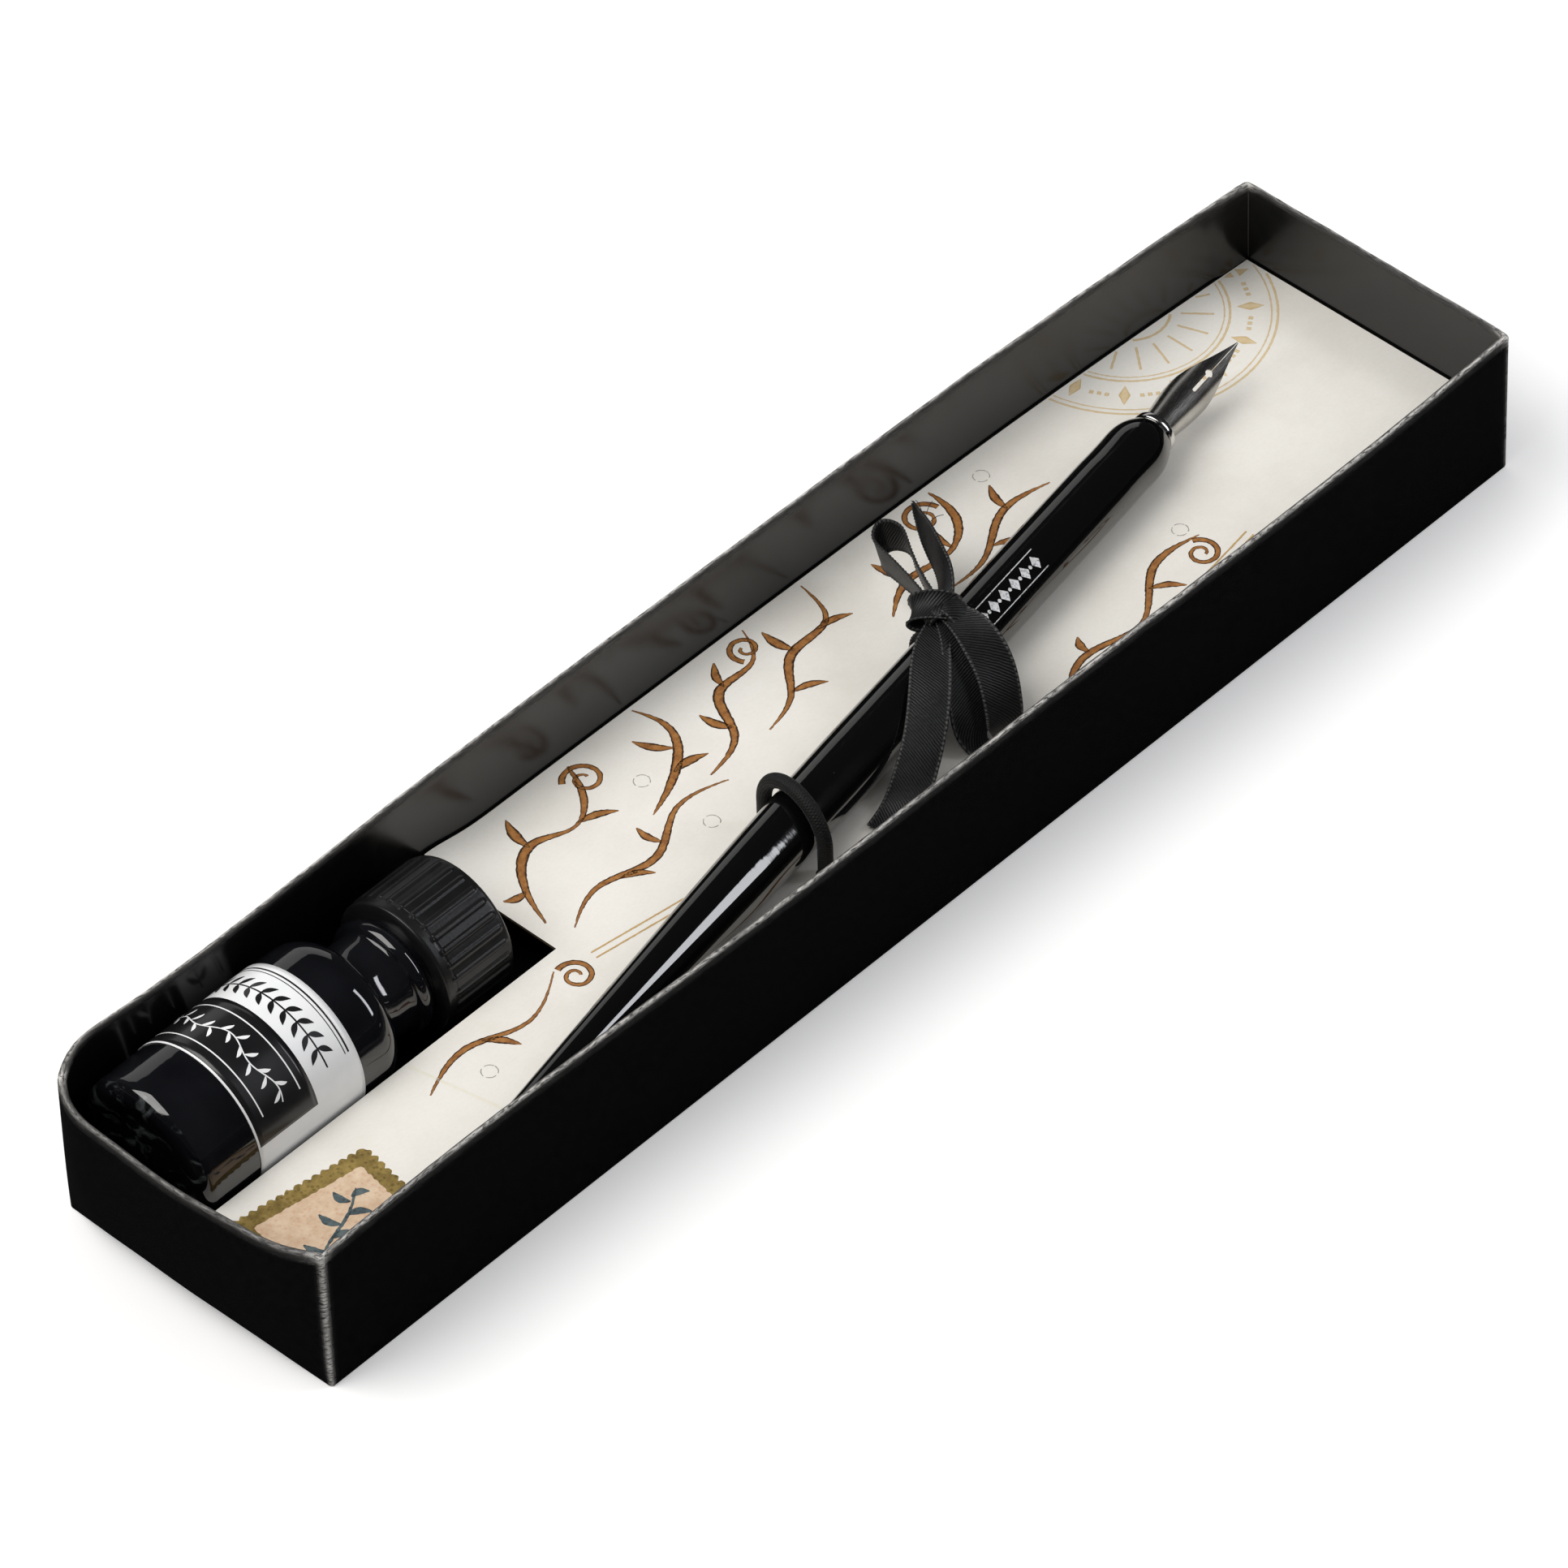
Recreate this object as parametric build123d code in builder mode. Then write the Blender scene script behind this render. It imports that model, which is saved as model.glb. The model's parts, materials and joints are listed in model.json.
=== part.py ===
"""Calligraphy set in an open carton tray: a dip pen, an ink bottle and the card that holds them.

Millimetres, +Z up, X along the tray. The origin is the centre of the tray's underside.
"""
from build123d import *
import math
import os

os.makedirs("parts", exist_ok=True)

# ---------------------------------------------------------------- driving dimensions
# Tray of folded carton
tray_length = 240.0
tray_width = 50.0
tray_height = 25.5
wall = 0.9              # outer and turned-in ply together
floor = 0.6

# How far each side of the rim bows out, at stations from one corner (-1) to the other (1)
rear_bow = [(-1.0, 0.0), (-0.96, 2.5), (-0.9, 2.95), (-0.5, 3.0), (0.0, 3.1), (0.4, 2.7), (0.7, 1.8), (1.0, 0.0)]
left_bow = [(1.0, 0.0), (0.88, 2.2), (0.5, 4.1), (0.0, 4.6), (-0.5, 3.7), (-0.88, 1.7), (-1.0, 0.0)]
front_bow = [(-1.0, 0.0), (-0.8, -0.5), (-0.35, 0.5), (0.3, 0.75), (0.8, 0.8), (1.0, 0.0)]
# Share of that bow at heights up the wall: it does most of its bulging in the lower half
bulge_shares = [(0.0, 0.0), (0.28, 0.78), (0.55, 0.99), (1.0, 1.0)]

# Insert card: a folded platform with a bay for the bottle
card_top = 11.3
card = 0.5
card_gap = 0.35         # card to wall
bay_gap = 5.6           # cap top to the bay's end
bay_side_gap = 0.5      # bottle to the bay's long edge
leg_gap = 3.0           # how far the folded legs stop short of the bay's corners

# Ink bottle, lying along X with its base to the left
bottle_radius = 12.2
bottle_end_gap = 4.5    # tray's left end to the bottle's base
bottle_rear_gap = 10.7  # tray's rear edge to the bottle's axis
lie_gap = 0.1           # round pieces to the surface under them
glass = 1.3
base_thickness = 3.0
base_hollow = 1.0
heel_radius = 2.2
body_length = 34.5      # base to the start of the shoulder
shoulder_length = 4.6
shoulder_step = 0.5     # the shoulder ends this far outside the neck
neck_radius = 7.9
neck_length = 19.6
mouth_radius = 6.2
bead_radius = 9.1
bead_width = 2.6
bead_gap = 1.0          # bead to the cap's open rim
ink_level = 0.8         # above the bottle's axis
ink_gap = 0.05
ink_mouth_gap = 0.4

label_start = 10.3      # from the base
label_length = 19.9
label_thickness = 0.12
label_open_angle = 70.0

# Screw cap
cap_length = 12.9
cap_radius = 10.5
cap_top_thickness = 1.6
cap_edge = 0.8
collar_length = 1.9
rib_count = 30
rib_height = 0.22
rib_width = 0.55
rib_end_gap = 1.6
liner_thickness = 1.0
liner_gap = 0.05
thread_pitch = 3.0
thread_turns = 1.5
thread_depth = 0.9
thread_width = 1.1
thread_angle = 70.0
thread_sink = 0.1       # thread's root set into the wall that carries it
thread_start = 2.2      # mouth to the thread's upper end
thread_gap = 0.3        # a crest to the wall opposite

# Dip pen, held at a slant across the card
holder_length = 161.0
grip_radius = 4.85
tail_radius = 2.65
taper_start = 80.0      # behind the ring
ring_radius = 3.4
ring_x_gap = 41.0       # tray's right end to the ring's centre
ring_y = 5.9
pen_roll = 32.0         # the nib's crown leans this far to the front
pen_wall_gap = 0.5
sleeve_length = 16.0
sleeve_wall = 0.45
sleeve_gap = 0.03
sleeve_edge = 0.15
lip_length = 1.1
clip_length = 13.0
clip_wall = 0.4
clip_side = 0.4         # the clip's two edges stop this far above the pen's axis
clip_foot = 1.2

# Nib of sheet steel
nib_length = 20.0
nib_tuck = 9.0
nib_sheet = 0.3
nib_radius = 2.45
nib_flank = 1.3         # flanks reach this far below the pen's axis
nib_flank_start = 1.0
nib_corner = 7.6
nib_shoulder = 10.2
nib_hole_at = 12.4
nib_hole_radius = 0.65
nib_slot_length = 4.4
nib_slot_width = 0.55
nib_slit_width = 0.1
nib_tip_width = 0.25
nib_clearance = 0.04

# Elastic cord over the barrel
elastic_diameter = 2.2
elastic_back = 93.0     # behind the ring, along the pen
elastic_skew = 17.0
elastic_hole_clearance = 0.3
elastic_drop = 3.2      # card's underside to the cord below it
elastic_turn = 2.9
elastic_knot_radius = 2.4
soft_gap = 0.35         # soft pieces to the barrel

# Satin ribbon tied round the barrel
ribbon_width = 6.0
ribbon_thickness = 0.4
ribbon_back = 53.5
ribbon_wrap_width = 4.6
ribbon_slot_clearance = 0.35
ribbon_drop = 0.8       # card's underside to the ribbon below it
knot_radius = 1.9
knot_side = 1.5

# The bow, by stations measured from the knot's centre: (forward along the pen, rearward, up) and
# the direction of the ribbon's width in the same terms
big_loop = [
    ((-0.2, -0.9, 0.7), (1.0, 0.0, 0.0)),
    ((-1.2, -4.6, 1.2), (1.0, 0.1, 0.1)),
    ((-3.0, -9.8, -1.4), (1.0, -0.2, 0.3)),
    ((-4.8, -13.4, -5.8), (1.0, -0.4, 0.4)),
    ((-6.2, -14.4, -9.0), (1.0, -0.5, 0.1)),
    ((-6.6, -12.6, -10.4), (1.0, -0.5, -0.2)),
    ((-5.4, -10.4, -8.6), (1.0, -0.3, 0.0)),
    ((-3.0, -8.2, -4.0), (1.0, -0.1, 0.0)),
    ((-0.8, -5.0, -0.8), (1.0, 0.0, 0.0)),
    ((0.3, -1.2, -0.4), (1.0, 0.0, 0.0)),
]
short_tail = [
    ((1.1, 0.4, -0.2), (0.5, -0.9, 0.0)),
    ((6.8, 2.4, -0.6), (0.6, -0.8, 0.1)),
    ((12.2, 7.4, -1.2), (0.6, -0.7, 0.2)),
    ((16.0, 12.8, -2.4), (0.6, -0.7, 0.3)),
    ((19.6, 17.4, -3.8), (0.6, -0.7, 0.3)),
]
long_tail = [
    ((-1.2, 0.2, -0.4), (0.4, -0.9, 0.0)),
    ((-6.4, -1.6, -0.8), (0.5, -0.8, -0.1)),
    ((-10.6, -7.8, -3.0), (0.6, -0.7, -0.1)),
    ((-14.0, -10.6, -8.4), (0.6, -0.8, -0.2)),
    ((-19.2, -11.4, -10.8), (0.3, -1.0, 0.0)),
    ((-25.4, -11.2, -11.0), (0.2, -1.0, 0.0)),
    ((-31.5, -10.6, -11.2), (0.2, -1.0, 0.0)),
]
# The small loop is a flat one: which way it points, its width's direction, and its outline
small_loop_out = (0.5, 0.84, -0.2)
small_loop_across = (0.6, -0.3, 0.65)
small_loop_outline = [(1.5, 0.5), (8.0, 2.2), (17.0, 2.1), (21.4, 0.0), (17.0, -1.8), (8.0, -1.5), (1.5, -0.5)]
frayed_width = 2.0

# ---------------------------------------------------------------- places worked out from them
half_length = tray_length / 2
half_width = tray_width / 2
card_under = card_top - card
card_end = half_length - wall - card_gap

bottle_x = -half_length + bottle_end_gap
bottle_y = half_width - bottle_rear_gap
bottle_z = floor + lie_gap + bottle_radius
bottle_frame = Plane(origin=(0, bottle_y, bottle_z), x_dir=(1, 0, 0), z_dir=(0, -1, 0))
bottle_axis = Axis((0, bottle_y, bottle_z), (1, 0, 0))

shoulder_x = bottle_x + body_length
neck_x = shoulder_x + shoulder_length
mouth_x = neck_x + neck_length
cap_top_x = mouth_x + liner_thickness + cap_top_thickness
cap_x = cap_top_x - cap_length
bead_x = cap_x - bead_gap - bead_width / 2
bore_radius = neck_radius + thread_depth + thread_gap
thread_x = mouth_x - thread_start - thread_pitch * thread_turns

bay_x = cap_top_x + bay_gap
bay_y = bottle_y - bottle_radius - bay_side_gap

ring_x = half_length - ring_x_gap
pen_z = card_top + lie_gap + grip_radius
tail_y = -half_width + wall + pen_wall_gap + tail_radius
pen_angle = math.degrees(math.asin((ring_y - tail_y) / holder_length))
pen_dir = Vector(1, 0, 0).rotate(Axis.Z, pen_angle)
pen_side = Vector(0, 1, 0).rotate(Axis.Z, pen_angle)
ring_centre = Vector(ring_x, ring_y, pen_z)
pen_axis = Axis(ring_centre, pen_dir)
crown_dir = Vector(0, 0, 1).rotate(Axis((0, 0, 0), pen_dir), pen_roll)
# The pen's planes: x runs along the pen towards the nib in the first three, z does in the last two
pen_frame = Plane(origin=ring_centre, x_dir=pen_dir, z_dir=-pen_side)
nib_plan = Plane(origin=ring_centre, x_dir=pen_dir, z_dir=crown_dir)
nib_side = Plane(origin=ring_centre, x_dir=pen_dir, z_dir=pen_dir.cross(crown_dir))
nib_section = Plane(origin=ring_centre - pen_dir * nib_tuck, x_dir=crown_dir.cross(pen_dir), z_dir=pen_dir)
clip_section = Plane(origin=ring_centre - pen_dir * sleeve_length, x_dir=crown_dir.cross(pen_dir), z_dir=pen_dir)

sleeve_inner = nib_radius + nib_clearance
sleeve_outer = sleeve_inner + sleeve_wall
socket_radius = sleeve_outer + sleeve_gap

elastic_centre = ring_centre - pen_dir * elastic_back
elastic_across = pen_side.rotate(Axis.Z, -elastic_skew)
elastic_run = pen_dir.rotate(Axis.Z, -elastic_skew)
elastic_frame = Plane(origin=elastic_centre, x_dir=elastic_across, z_dir=elastic_run)
elastic_radius = (grip_radius + soft_gap + elastic_diameter / 2) / math.cos(math.radians(elastic_skew))
elastic_low = card_under - pen_z - elastic_drop

ribbon_centre = ring_centre - pen_dir * ribbon_back
ribbon_frame = Plane(origin=ribbon_centre, x_dir=pen_side, z_dir=pen_dir)
ribbon_radius = grip_radius + soft_gap + ribbon_thickness / 2
ribbon_low = card_under - pen_z - ribbon_drop
knot_up = math.sqrt((grip_radius + soft_gap + knot_radius) ** 2 - knot_side ** 2)
knot_centre = ribbon_centre + pen_side * knot_side + Vector(0, 0, knot_up)


def tray_outline(share, inset, inward_share):
    """The tray's outline, its sides bowed out by a share of the rim's bow and drawn in by an inset.

    Where the front side bows inward, it does so by inward_share.
    """
    x1 = half_length - inset
    y1 = half_width - inset
    with BuildSketch() as outline:
        with BuildLine():
            Spline([(x1 * place, y1 + share * bow) for place, bow in rear_bow])
            Spline([(-x1 - share * bow, y1 * place) for place, bow in left_bow])
            Spline([
                (x1 * place, -y1 - (inward_share if bow < 0 else share) * bow)
                for place, bow in front_bow
            ])
            Line((x1, -y1), (x1, y1))
        make_face()
    return outline.sketch


def tray_form(inset, lifts_clear=False):
    """A solid as tall as the tray that fills its bulging outer form, drawn in by an inset.

    One that lifts clear stays behind the rim all the way down, where the front side bows inward.
    """
    with BuildPart() as form:
        for height, share in bulge_shares:
            with BuildSketch(Plane.XY.offset(height * tray_height)):
                add(tray_outline(share, inset, 1.0 if lifts_clear else share))
        loft()
    return form.part


def thread(base_x, root_radius, depth, inward):
    """A thread about the bottle's axis, from base_x towards the mouth, standing off a wall."""
    reach = depth + thread_sink
    side = -1 if inward else 1
    with BuildPart() as ridge:
        with BuildLine() as route:
            Helix(
                pitch=thread_pitch,
                height=thread_pitch * thread_turns,
                radius=root_radius - side * thread_sink,
                center=(base_x, bottle_y, bottle_z),
                direction=(1, 0, 0),
            )
        foot = route.line @ 0
        outward = (foot - Vector(foot.X, bottle_y, bottle_z)).normalized() * side
        with BuildSketch(Plane(origin=foot, x_dir=outward, z_dir=route.line % 0)):
            with Locations((reach / 2, 0)):
                Trapezoid(thread_width, reach, thread_angle, rotation=-90)
        sweep(path=route.line, is_frenet=True)
    return ridge.part


def bow_direction(parts):
    """A direction given as (forward along the pen, rearward, up)."""
    forward, rearward, up = parts
    return pen_dir * forward + pen_side * rearward + Vector(0, 0, up)


def drawn_in(point, thickness):
    """A point of the small loop's outline moved in by the ribbon's thickness: its end point moves back."""
    x, y = point
    if y == 0:
        return (x - thickness, 0)
    return (x, y - math.copysign(thickness, y))


def bow_strip(stations, end_width):
    """A flat ribbon through a list of the bow's stations, end_width wide at its last one."""
    points = [knot_centre + bow_direction(place) for place, _ in stations]
    last = len(points) - 1
    with BuildPart() as ribbon:
        for i, (_, across) in enumerate(stations):
            along = points[min(i + 1, last)] - points[max(i - 1, 0)]
            face = along.cross(bow_direction(across))
            width = ribbon_wrap_width / 2 if i == 0 else ribbon_width
            if i == last:
                width = end_width
            with BuildSketch(Plane(origin=points[i], x_dir=face.cross(along), z_dir=along)):
                Rectangle(width, ribbon_thickness)
        loft(ruled=True)
    return ribbon.part


# ---------------------------------------------------------------- tray
tray_outside = tray_form(0)
tray_inside = tray_form(wall)
with BuildPart() as tray_hollow:
    add(tray_inside)
    split(bisect_by=Plane.XY.offset(floor), keep=Keep.TOP)
with BuildPart() as tray:
    add(tray_outside)
    add(tray_hollow.part, mode=Mode.SUBTRACT)

tray.part.label = "tray"
export_step(tray.part, "parts/tray.step")

# ---------------------------------------------------------------- insert card
card_outside = tray_form(wall + card_gap, lifts_clear=True)
leg_inside = tray_form(wall + card_gap + card, lifts_clear=True)
with BuildPart() as insert_card:
    add(card_outside)
    # the folded legs are as thick as the card and stand on the tray's floor
    add(leg_inside, mode=Mode.SUBTRACT)
    with BuildSketch(Plane.XY):
        Rectangle(2 * card_end, tray_width + tray_height)
    extrude(amount=tray_height, mode=Mode.INTERSECT)
    # left end's leg, straight where the tray's end bows out
    with BuildSketch(Plane.XY):
        with Locations((-card_end, 0)):
            Rectangle(card, 2 * (half_width - wall - card_gap - card), align=(Align.MIN, Align.CENTER))
    extrude(amount=card_under)
    # no legs at the bay
    with BuildSketch(Plane.XY):
        with Locations((bay_x + leg_gap, bay_y - leg_gap)):
            Rectangle(tray_length, tray_width, align=(Align.MAX, Align.MIN))
    extrude(amount=tray_height, mode=Mode.SUBTRACT)
    # platform, cut from the same form
    with BuildSketch(Plane.XY.offset(card_under)):
        Rectangle(2 * card_end, tray_width + tray_height)
    extrude(amount=card)
    add(card_outside, mode=Mode.INTERSECT)
    split(bisect_by=Plane.XY.offset(card_top), keep=Keep.BOTTOM)
    split(bisect_by=Plane.XY.offset(floor), keep=Keep.TOP)
    # the bay, open to the left and the rear
    with BuildSketch(Plane.XY):
        with Locations((bay_x, bay_y)):
            Rectangle(tray_length, tray_width, align=(Align.MAX, Align.MIN))
    extrude(amount=tray_height, mode=Mode.SUBTRACT)
    # two holes for the elastic and two slots for the ribbon
    with BuildSketch(Plane.XY.offset(card_under)):
        with Locations(*[elastic_centre + elastic_across * (side * elastic_radius) for side in (-1, 1)]):
            Circle(elastic_diameter / 2 + elastic_hole_clearance)
    extrude(amount=card, mode=Mode.SUBTRACT)
    with BuildSketch(ribbon_frame.offset(-ribbon_wrap_width / 2 - ribbon_slot_clearance)):
        with Locations(*[(side * ribbon_radius, card_under - pen_z) for side in (-1, 1)]):
            Rectangle(
                ribbon_thickness + 2 * ribbon_slot_clearance, card, align=(Align.CENTER, Align.MIN)
            )
    extrude(amount=ribbon_wrap_width + 2 * ribbon_slot_clearance, mode=Mode.SUBTRACT)

insert_card.part.label = "insert_card"
export_step(insert_card.part, "parts/insert_card.step")

# ---------------------------------------------------------------- ink bottle
neck_thread = thread(thread_x, neck_radius, thread_depth, inward=False)
with BuildPart() as ink_bottle:
    with BuildSketch(bottle_frame):
        with BuildLine():
            flat_top = bottle_radius - heel_radius
            Line((bottle_x + base_hollow, 0), (bottle_x, flat_top - heel_radius))
            Line((bottle_x, flat_top - heel_radius), (bottle_x, flat_top))
            CenterArc((bottle_x + heel_radius, flat_top), heel_radius, 90, 90)
            Line((bottle_x + heel_radius, bottle_radius), (shoulder_x, bottle_radius))
            EllipticalCenterArc(
                (shoulder_x, neck_radius + shoulder_step),
                shoulder_length,
                bottle_radius - neck_radius - shoulder_step,
                start_angle=0,
                arc_size=90,
            )
            Polyline(
                (neck_x, neck_radius + shoulder_step),
                (neck_x, neck_radius),
                (mouth_x, neck_radius),
                (mouth_x, 0),
                (bottle_x + base_hollow, 0),
            )
        make_face()
    revolve(axis=bottle_axis)
    # bead under the thread
    with BuildSketch(bottle_frame):
        with BuildLine():
            ThreePointArc(
                (bead_x - bead_width / 2, neck_radius),
                (bead_x, bead_radius),
                (bead_x + bead_width / 2, neck_radius),
            )
            Polyline(
                (bead_x + bead_width / 2, neck_radius),
                (bead_x + bead_width / 2, neck_radius - glass / 2),
                (bead_x - bead_width / 2, neck_radius - glass / 2),
                (bead_x - bead_width / 2, neck_radius),
            )
        make_face()
    revolve(axis=bottle_axis)
    add(neck_thread)
    # inside
    with BuildSketch(bottle_frame):
        with BuildLine():
            Polyline(
                (bottle_x + base_thickness, 0),
                (bottle_x + base_thickness, bottle_radius - glass - heel_radius),
                (bottle_x + base_thickness + heel_radius, bottle_radius - glass),
                (shoulder_x, bottle_radius - glass),
                (neck_x, mouth_radius),
                (mouth_x, mouth_radius),
                (mouth_x, 0),
                (bottle_x + base_thickness, 0),
            )
        make_face()
    revolve(axis=bottle_axis, mode=Mode.SUBTRACT)

ink_bottle.part.label = "ink_bottle"
export_step(ink_bottle.part, "parts/ink_bottle.step")

# ---------------------------------------------------------------- ink
with BuildPart() as ink:
    with BuildSketch(bottle_frame):
        with BuildLine():
            Polyline(
                (bottle_x + base_thickness + ink_gap, 0),
                (bottle_x + base_thickness + ink_gap, bottle_radius - glass - heel_radius - ink_gap),
                (bottle_x + base_thickness + heel_radius, bottle_radius - glass - ink_gap),
                (shoulder_x - ink_gap, bottle_radius - glass - ink_gap),
                (neck_x - ink_gap, mouth_radius - ink_gap),
                (mouth_x - ink_mouth_gap, mouth_radius - ink_gap),
                (mouth_x - ink_mouth_gap, 0),
                (bottle_x + base_thickness + ink_gap, 0),
            )
        make_face()
    revolve(axis=bottle_axis)
    split(bisect_by=Plane.XY.offset(bottle_z + ink_level), keep=Keep.BOTTOM)

ink.part.label = "ink"
export_step(ink.part, "parts/ink.step")

# ---------------------------------------------------------------- bottle label
with BuildPart() as bottle_label:
    with BuildSketch(Plane.YZ.offset(bottle_x + label_start)):
        with Locations((bottle_y, bottle_z)):
            Circle(bottle_radius + label_thickness)
            Circle(bottle_radius, mode=Mode.SUBTRACT)
    extrude(amount=label_length)
    # its two ends leave a strip of the glass bare, under the bottle
    half_open = 2 * bottle_radius * math.tan(math.radians(label_open_angle / 2))
    with BuildSketch(Plane.YZ.offset(bottle_x)):
        with BuildLine():
            Polyline(
                (bottle_y, bottle_z),
                (bottle_y - half_open, bottle_z - 2 * bottle_radius),
                (bottle_y + half_open, bottle_z - 2 * bottle_radius),
                (bottle_y, bottle_z),
            )
        make_face()
    extrude(amount=body_length, mode=Mode.SUBTRACT)

bottle_label.part.label = "bottle_label"
export_step(bottle_label.part, "parts/bottle_label.step")

# ---------------------------------------------------------------- screw cap
cap_thread = thread(
    thread_x - thread_pitch / 2, bore_radius, bore_radius - neck_radius - thread_gap, inward=True
)
with BuildPart() as screw_cap:
    with BuildSketch(bottle_frame):
        with BuildLine():
            Line((cap_x, bore_radius), (cap_x, cap_radius))
            Line((cap_x, cap_radius), (cap_top_x - cap_edge, cap_radius))
            CenterArc((cap_top_x - cap_edge, cap_radius - cap_edge), cap_edge, 0, 90)
            Polyline(
                (cap_top_x, cap_radius - cap_edge),
                (cap_top_x, 0),
                (mouth_x + liner_thickness, 0),
                (mouth_x + liner_thickness, bore_radius),
                (cap_x, bore_radius),
            )
        make_face()
    revolve(axis=bottle_axis)
    # grip ribs, from the smooth collar to the top edge
    with BuildSketch(Plane.YZ.offset(cap_x + collar_length)):
        with Locations((bottle_y, bottle_z)):
            with PolarLocations(cap_radius, rib_count):
                Rectangle(2 * rib_height, rib_width)
    extrude(amount=cap_length - collar_length - rib_end_gap)
    add(cap_thread)

screw_cap.part.label = "screw_cap"
export_step(screw_cap.part, "parts/screw_cap.step")

# ---------------------------------------------------------------- cap liner
with BuildPart() as cap_liner:
    with BuildSketch(Plane.YZ.offset(mouth_x + liner_gap)):
        with Locations((bottle_y, bottle_z)):
            Circle(bore_radius - liner_gap)
    extrude(amount=liner_thickness - 2 * liner_gap)

cap_liner.part.label = "cap_liner"
export_step(cap_liner.part, "parts/cap_liner.step")

# ---------------------------------------------------------------- pen holder
with BuildPart() as pen_holder:
    with BuildSketch(pen_frame):
        with BuildLine():
            Line((-lip_length, 0), (-lip_length, ring_radius - sleeve_edge))
            front = Spline(
                (-lip_length, ring_radius - sleeve_edge),
                (-3.6, grip_radius - 0.42),
                (-8.0, grip_radius - 0.06),
                (-14.0, grip_radius),
            )
            Line(front @ 1, (-taper_start, grip_radius))
            Spline(
                (-taper_start, grip_radius),
                (-104.0, grip_radius - 0.35),
                (-131.0, tail_radius + 0.95),
                (-holder_length + tail_radius, tail_radius),
            )
            CenterArc((-holder_length + tail_radius, 0), tail_radius, 90, 90)
            Line((-holder_length, 0), (-lip_length, 0))
        make_face()
    revolve(axis=pen_axis)
    # socket for the metal sleeve
    with BuildSketch(pen_frame):
        with Locations((-lip_length, 0)):
            Rectangle(sleeve_length - lip_length + sleeve_gap, socket_radius, align=(Align.MAX, Align.MIN))
    revolve(axis=pen_axis, mode=Mode.SUBTRACT)

pen_holder.part.label = "pen_holder"
export_step(pen_holder.part, "parts/pen_holder.step")

# ---------------------------------------------------------------- metal sleeve with its lip
with BuildPart() as ferrule_sleeve:
    with BuildSketch(pen_frame):
        with BuildLine():
            Polyline(
                (0, sleeve_inner),
                (0, ring_radius - sleeve_edge),
                (-sleeve_edge, ring_radius),
                (-lip_length + sleeve_edge, ring_radius),
                (-lip_length, ring_radius - sleeve_edge),
                (-lip_length, sleeve_outer),
                (-sleeve_length, sleeve_outer),
                (-sleeve_length, sleeve_inner),
                (0, sleeve_inner),
            )
        make_face()
    revolve(axis=pen_axis)

ferrule_sleeve.part.label = "ferrule_sleeve"
export_step(ferrule_sleeve.part, "parts/ferrule_sleeve.step")

# ---------------------------------------------------------------- spring clip inside the sleeve
clip_radius = nib_radius - nib_sheet - nib_clearance
with BuildPart() as nib_clip:
    with BuildSketch(clip_section):
        Circle(clip_radius)
        Circle(clip_radius - clip_wall, mode=Mode.SUBTRACT)
        with Locations((0, clip_side)):
            Rectangle(2 * nib_radius, 2 * nib_radius, align=(Align.CENTER, Align.MAX), mode=Mode.SUBTRACT)
    extrude(amount=clip_length)
    with BuildSketch(clip_section):
        Circle(sleeve_inner - sleeve_gap)
    extrude(amount=clip_foot)

nib_clip.part.label = "nib_clip"
export_step(nib_clip.part, "parts/nib_clip.step")

# ---------------------------------------------------------------- nib
with BuildPart() as nib:
    # arched sheet with straight flanks
    with BuildSketch(nib_section):
        for radius, mode in ((nib_radius, Mode.ADD), (nib_radius - nib_sheet, Mode.SUBTRACT)):
            Circle(radius, mode=mode)
            Rectangle(2 * radius, 2 * nib_flank, align=(Align.CENTER, Align.MAX), mode=mode)
        with Locations((0, -nib_flank)):
            Rectangle(3 * nib_radius, 2 * nib_radius, align=(Align.CENTER, Align.MAX), mode=Mode.SUBTRACT)
    extrude(amount=nib_tuck + nib_length)
    # seen from above: straight sides, then a long point
    with BuildSketch(nib_plan):
        with BuildLine():
            Spline((nib_shoulder, nib_radius), (14.2, 1.35), (nib_length, nib_tip_width / 2))
            Polyline(
                (nib_shoulder, nib_radius),
                (-nib_tuck, nib_radius),
                (-nib_tuck, 0),
                (nib_length, 0),
                (nib_length, nib_tip_width / 2),
            )
        make_face()
        mirror(about=Plane.XZ)
    extrude(amount=2 * nib_radius, both=True, mode=Mode.INTERSECT)
    # seen from the side: half a tube in the sleeve, then flanks that end at a corner
    with BuildSketch(nib_side):
        with BuildLine():
            Polyline(
                (-nib_tuck, clip_side),
                (nib_flank_start, clip_side),
                (nib_flank_start, -nib_flank),
                (nib_corner, -nib_flank),
                (nib_shoulder + 2, nib_radius * 0.55),
                (nib_length, nib_radius * 0.85),
                (nib_length, 2 * nib_radius),
                (-nib_tuck, 2 * nib_radius),
                (-nib_tuck, clip_side),
            )
        make_face()
    extrude(amount=2 * nib_radius, both=True, mode=Mode.INTERSECT)
    # keyhole and slit
    with BuildSketch(nib_plan):
        with Locations((nib_hole_at, 0)):
            Circle(nib_hole_radius)
            Rectangle(nib_slot_length, nib_slot_width, align=(Align.MAX, Align.CENTER))
            Rectangle(nib_length, nib_slit_width, align=(Align.MIN, Align.CENTER))
    extrude(amount=2 * nib_radius, mode=Mode.SUBTRACT)

nib.part.label = "nib"
export_step(nib.part, "parts/nib.step")

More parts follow.
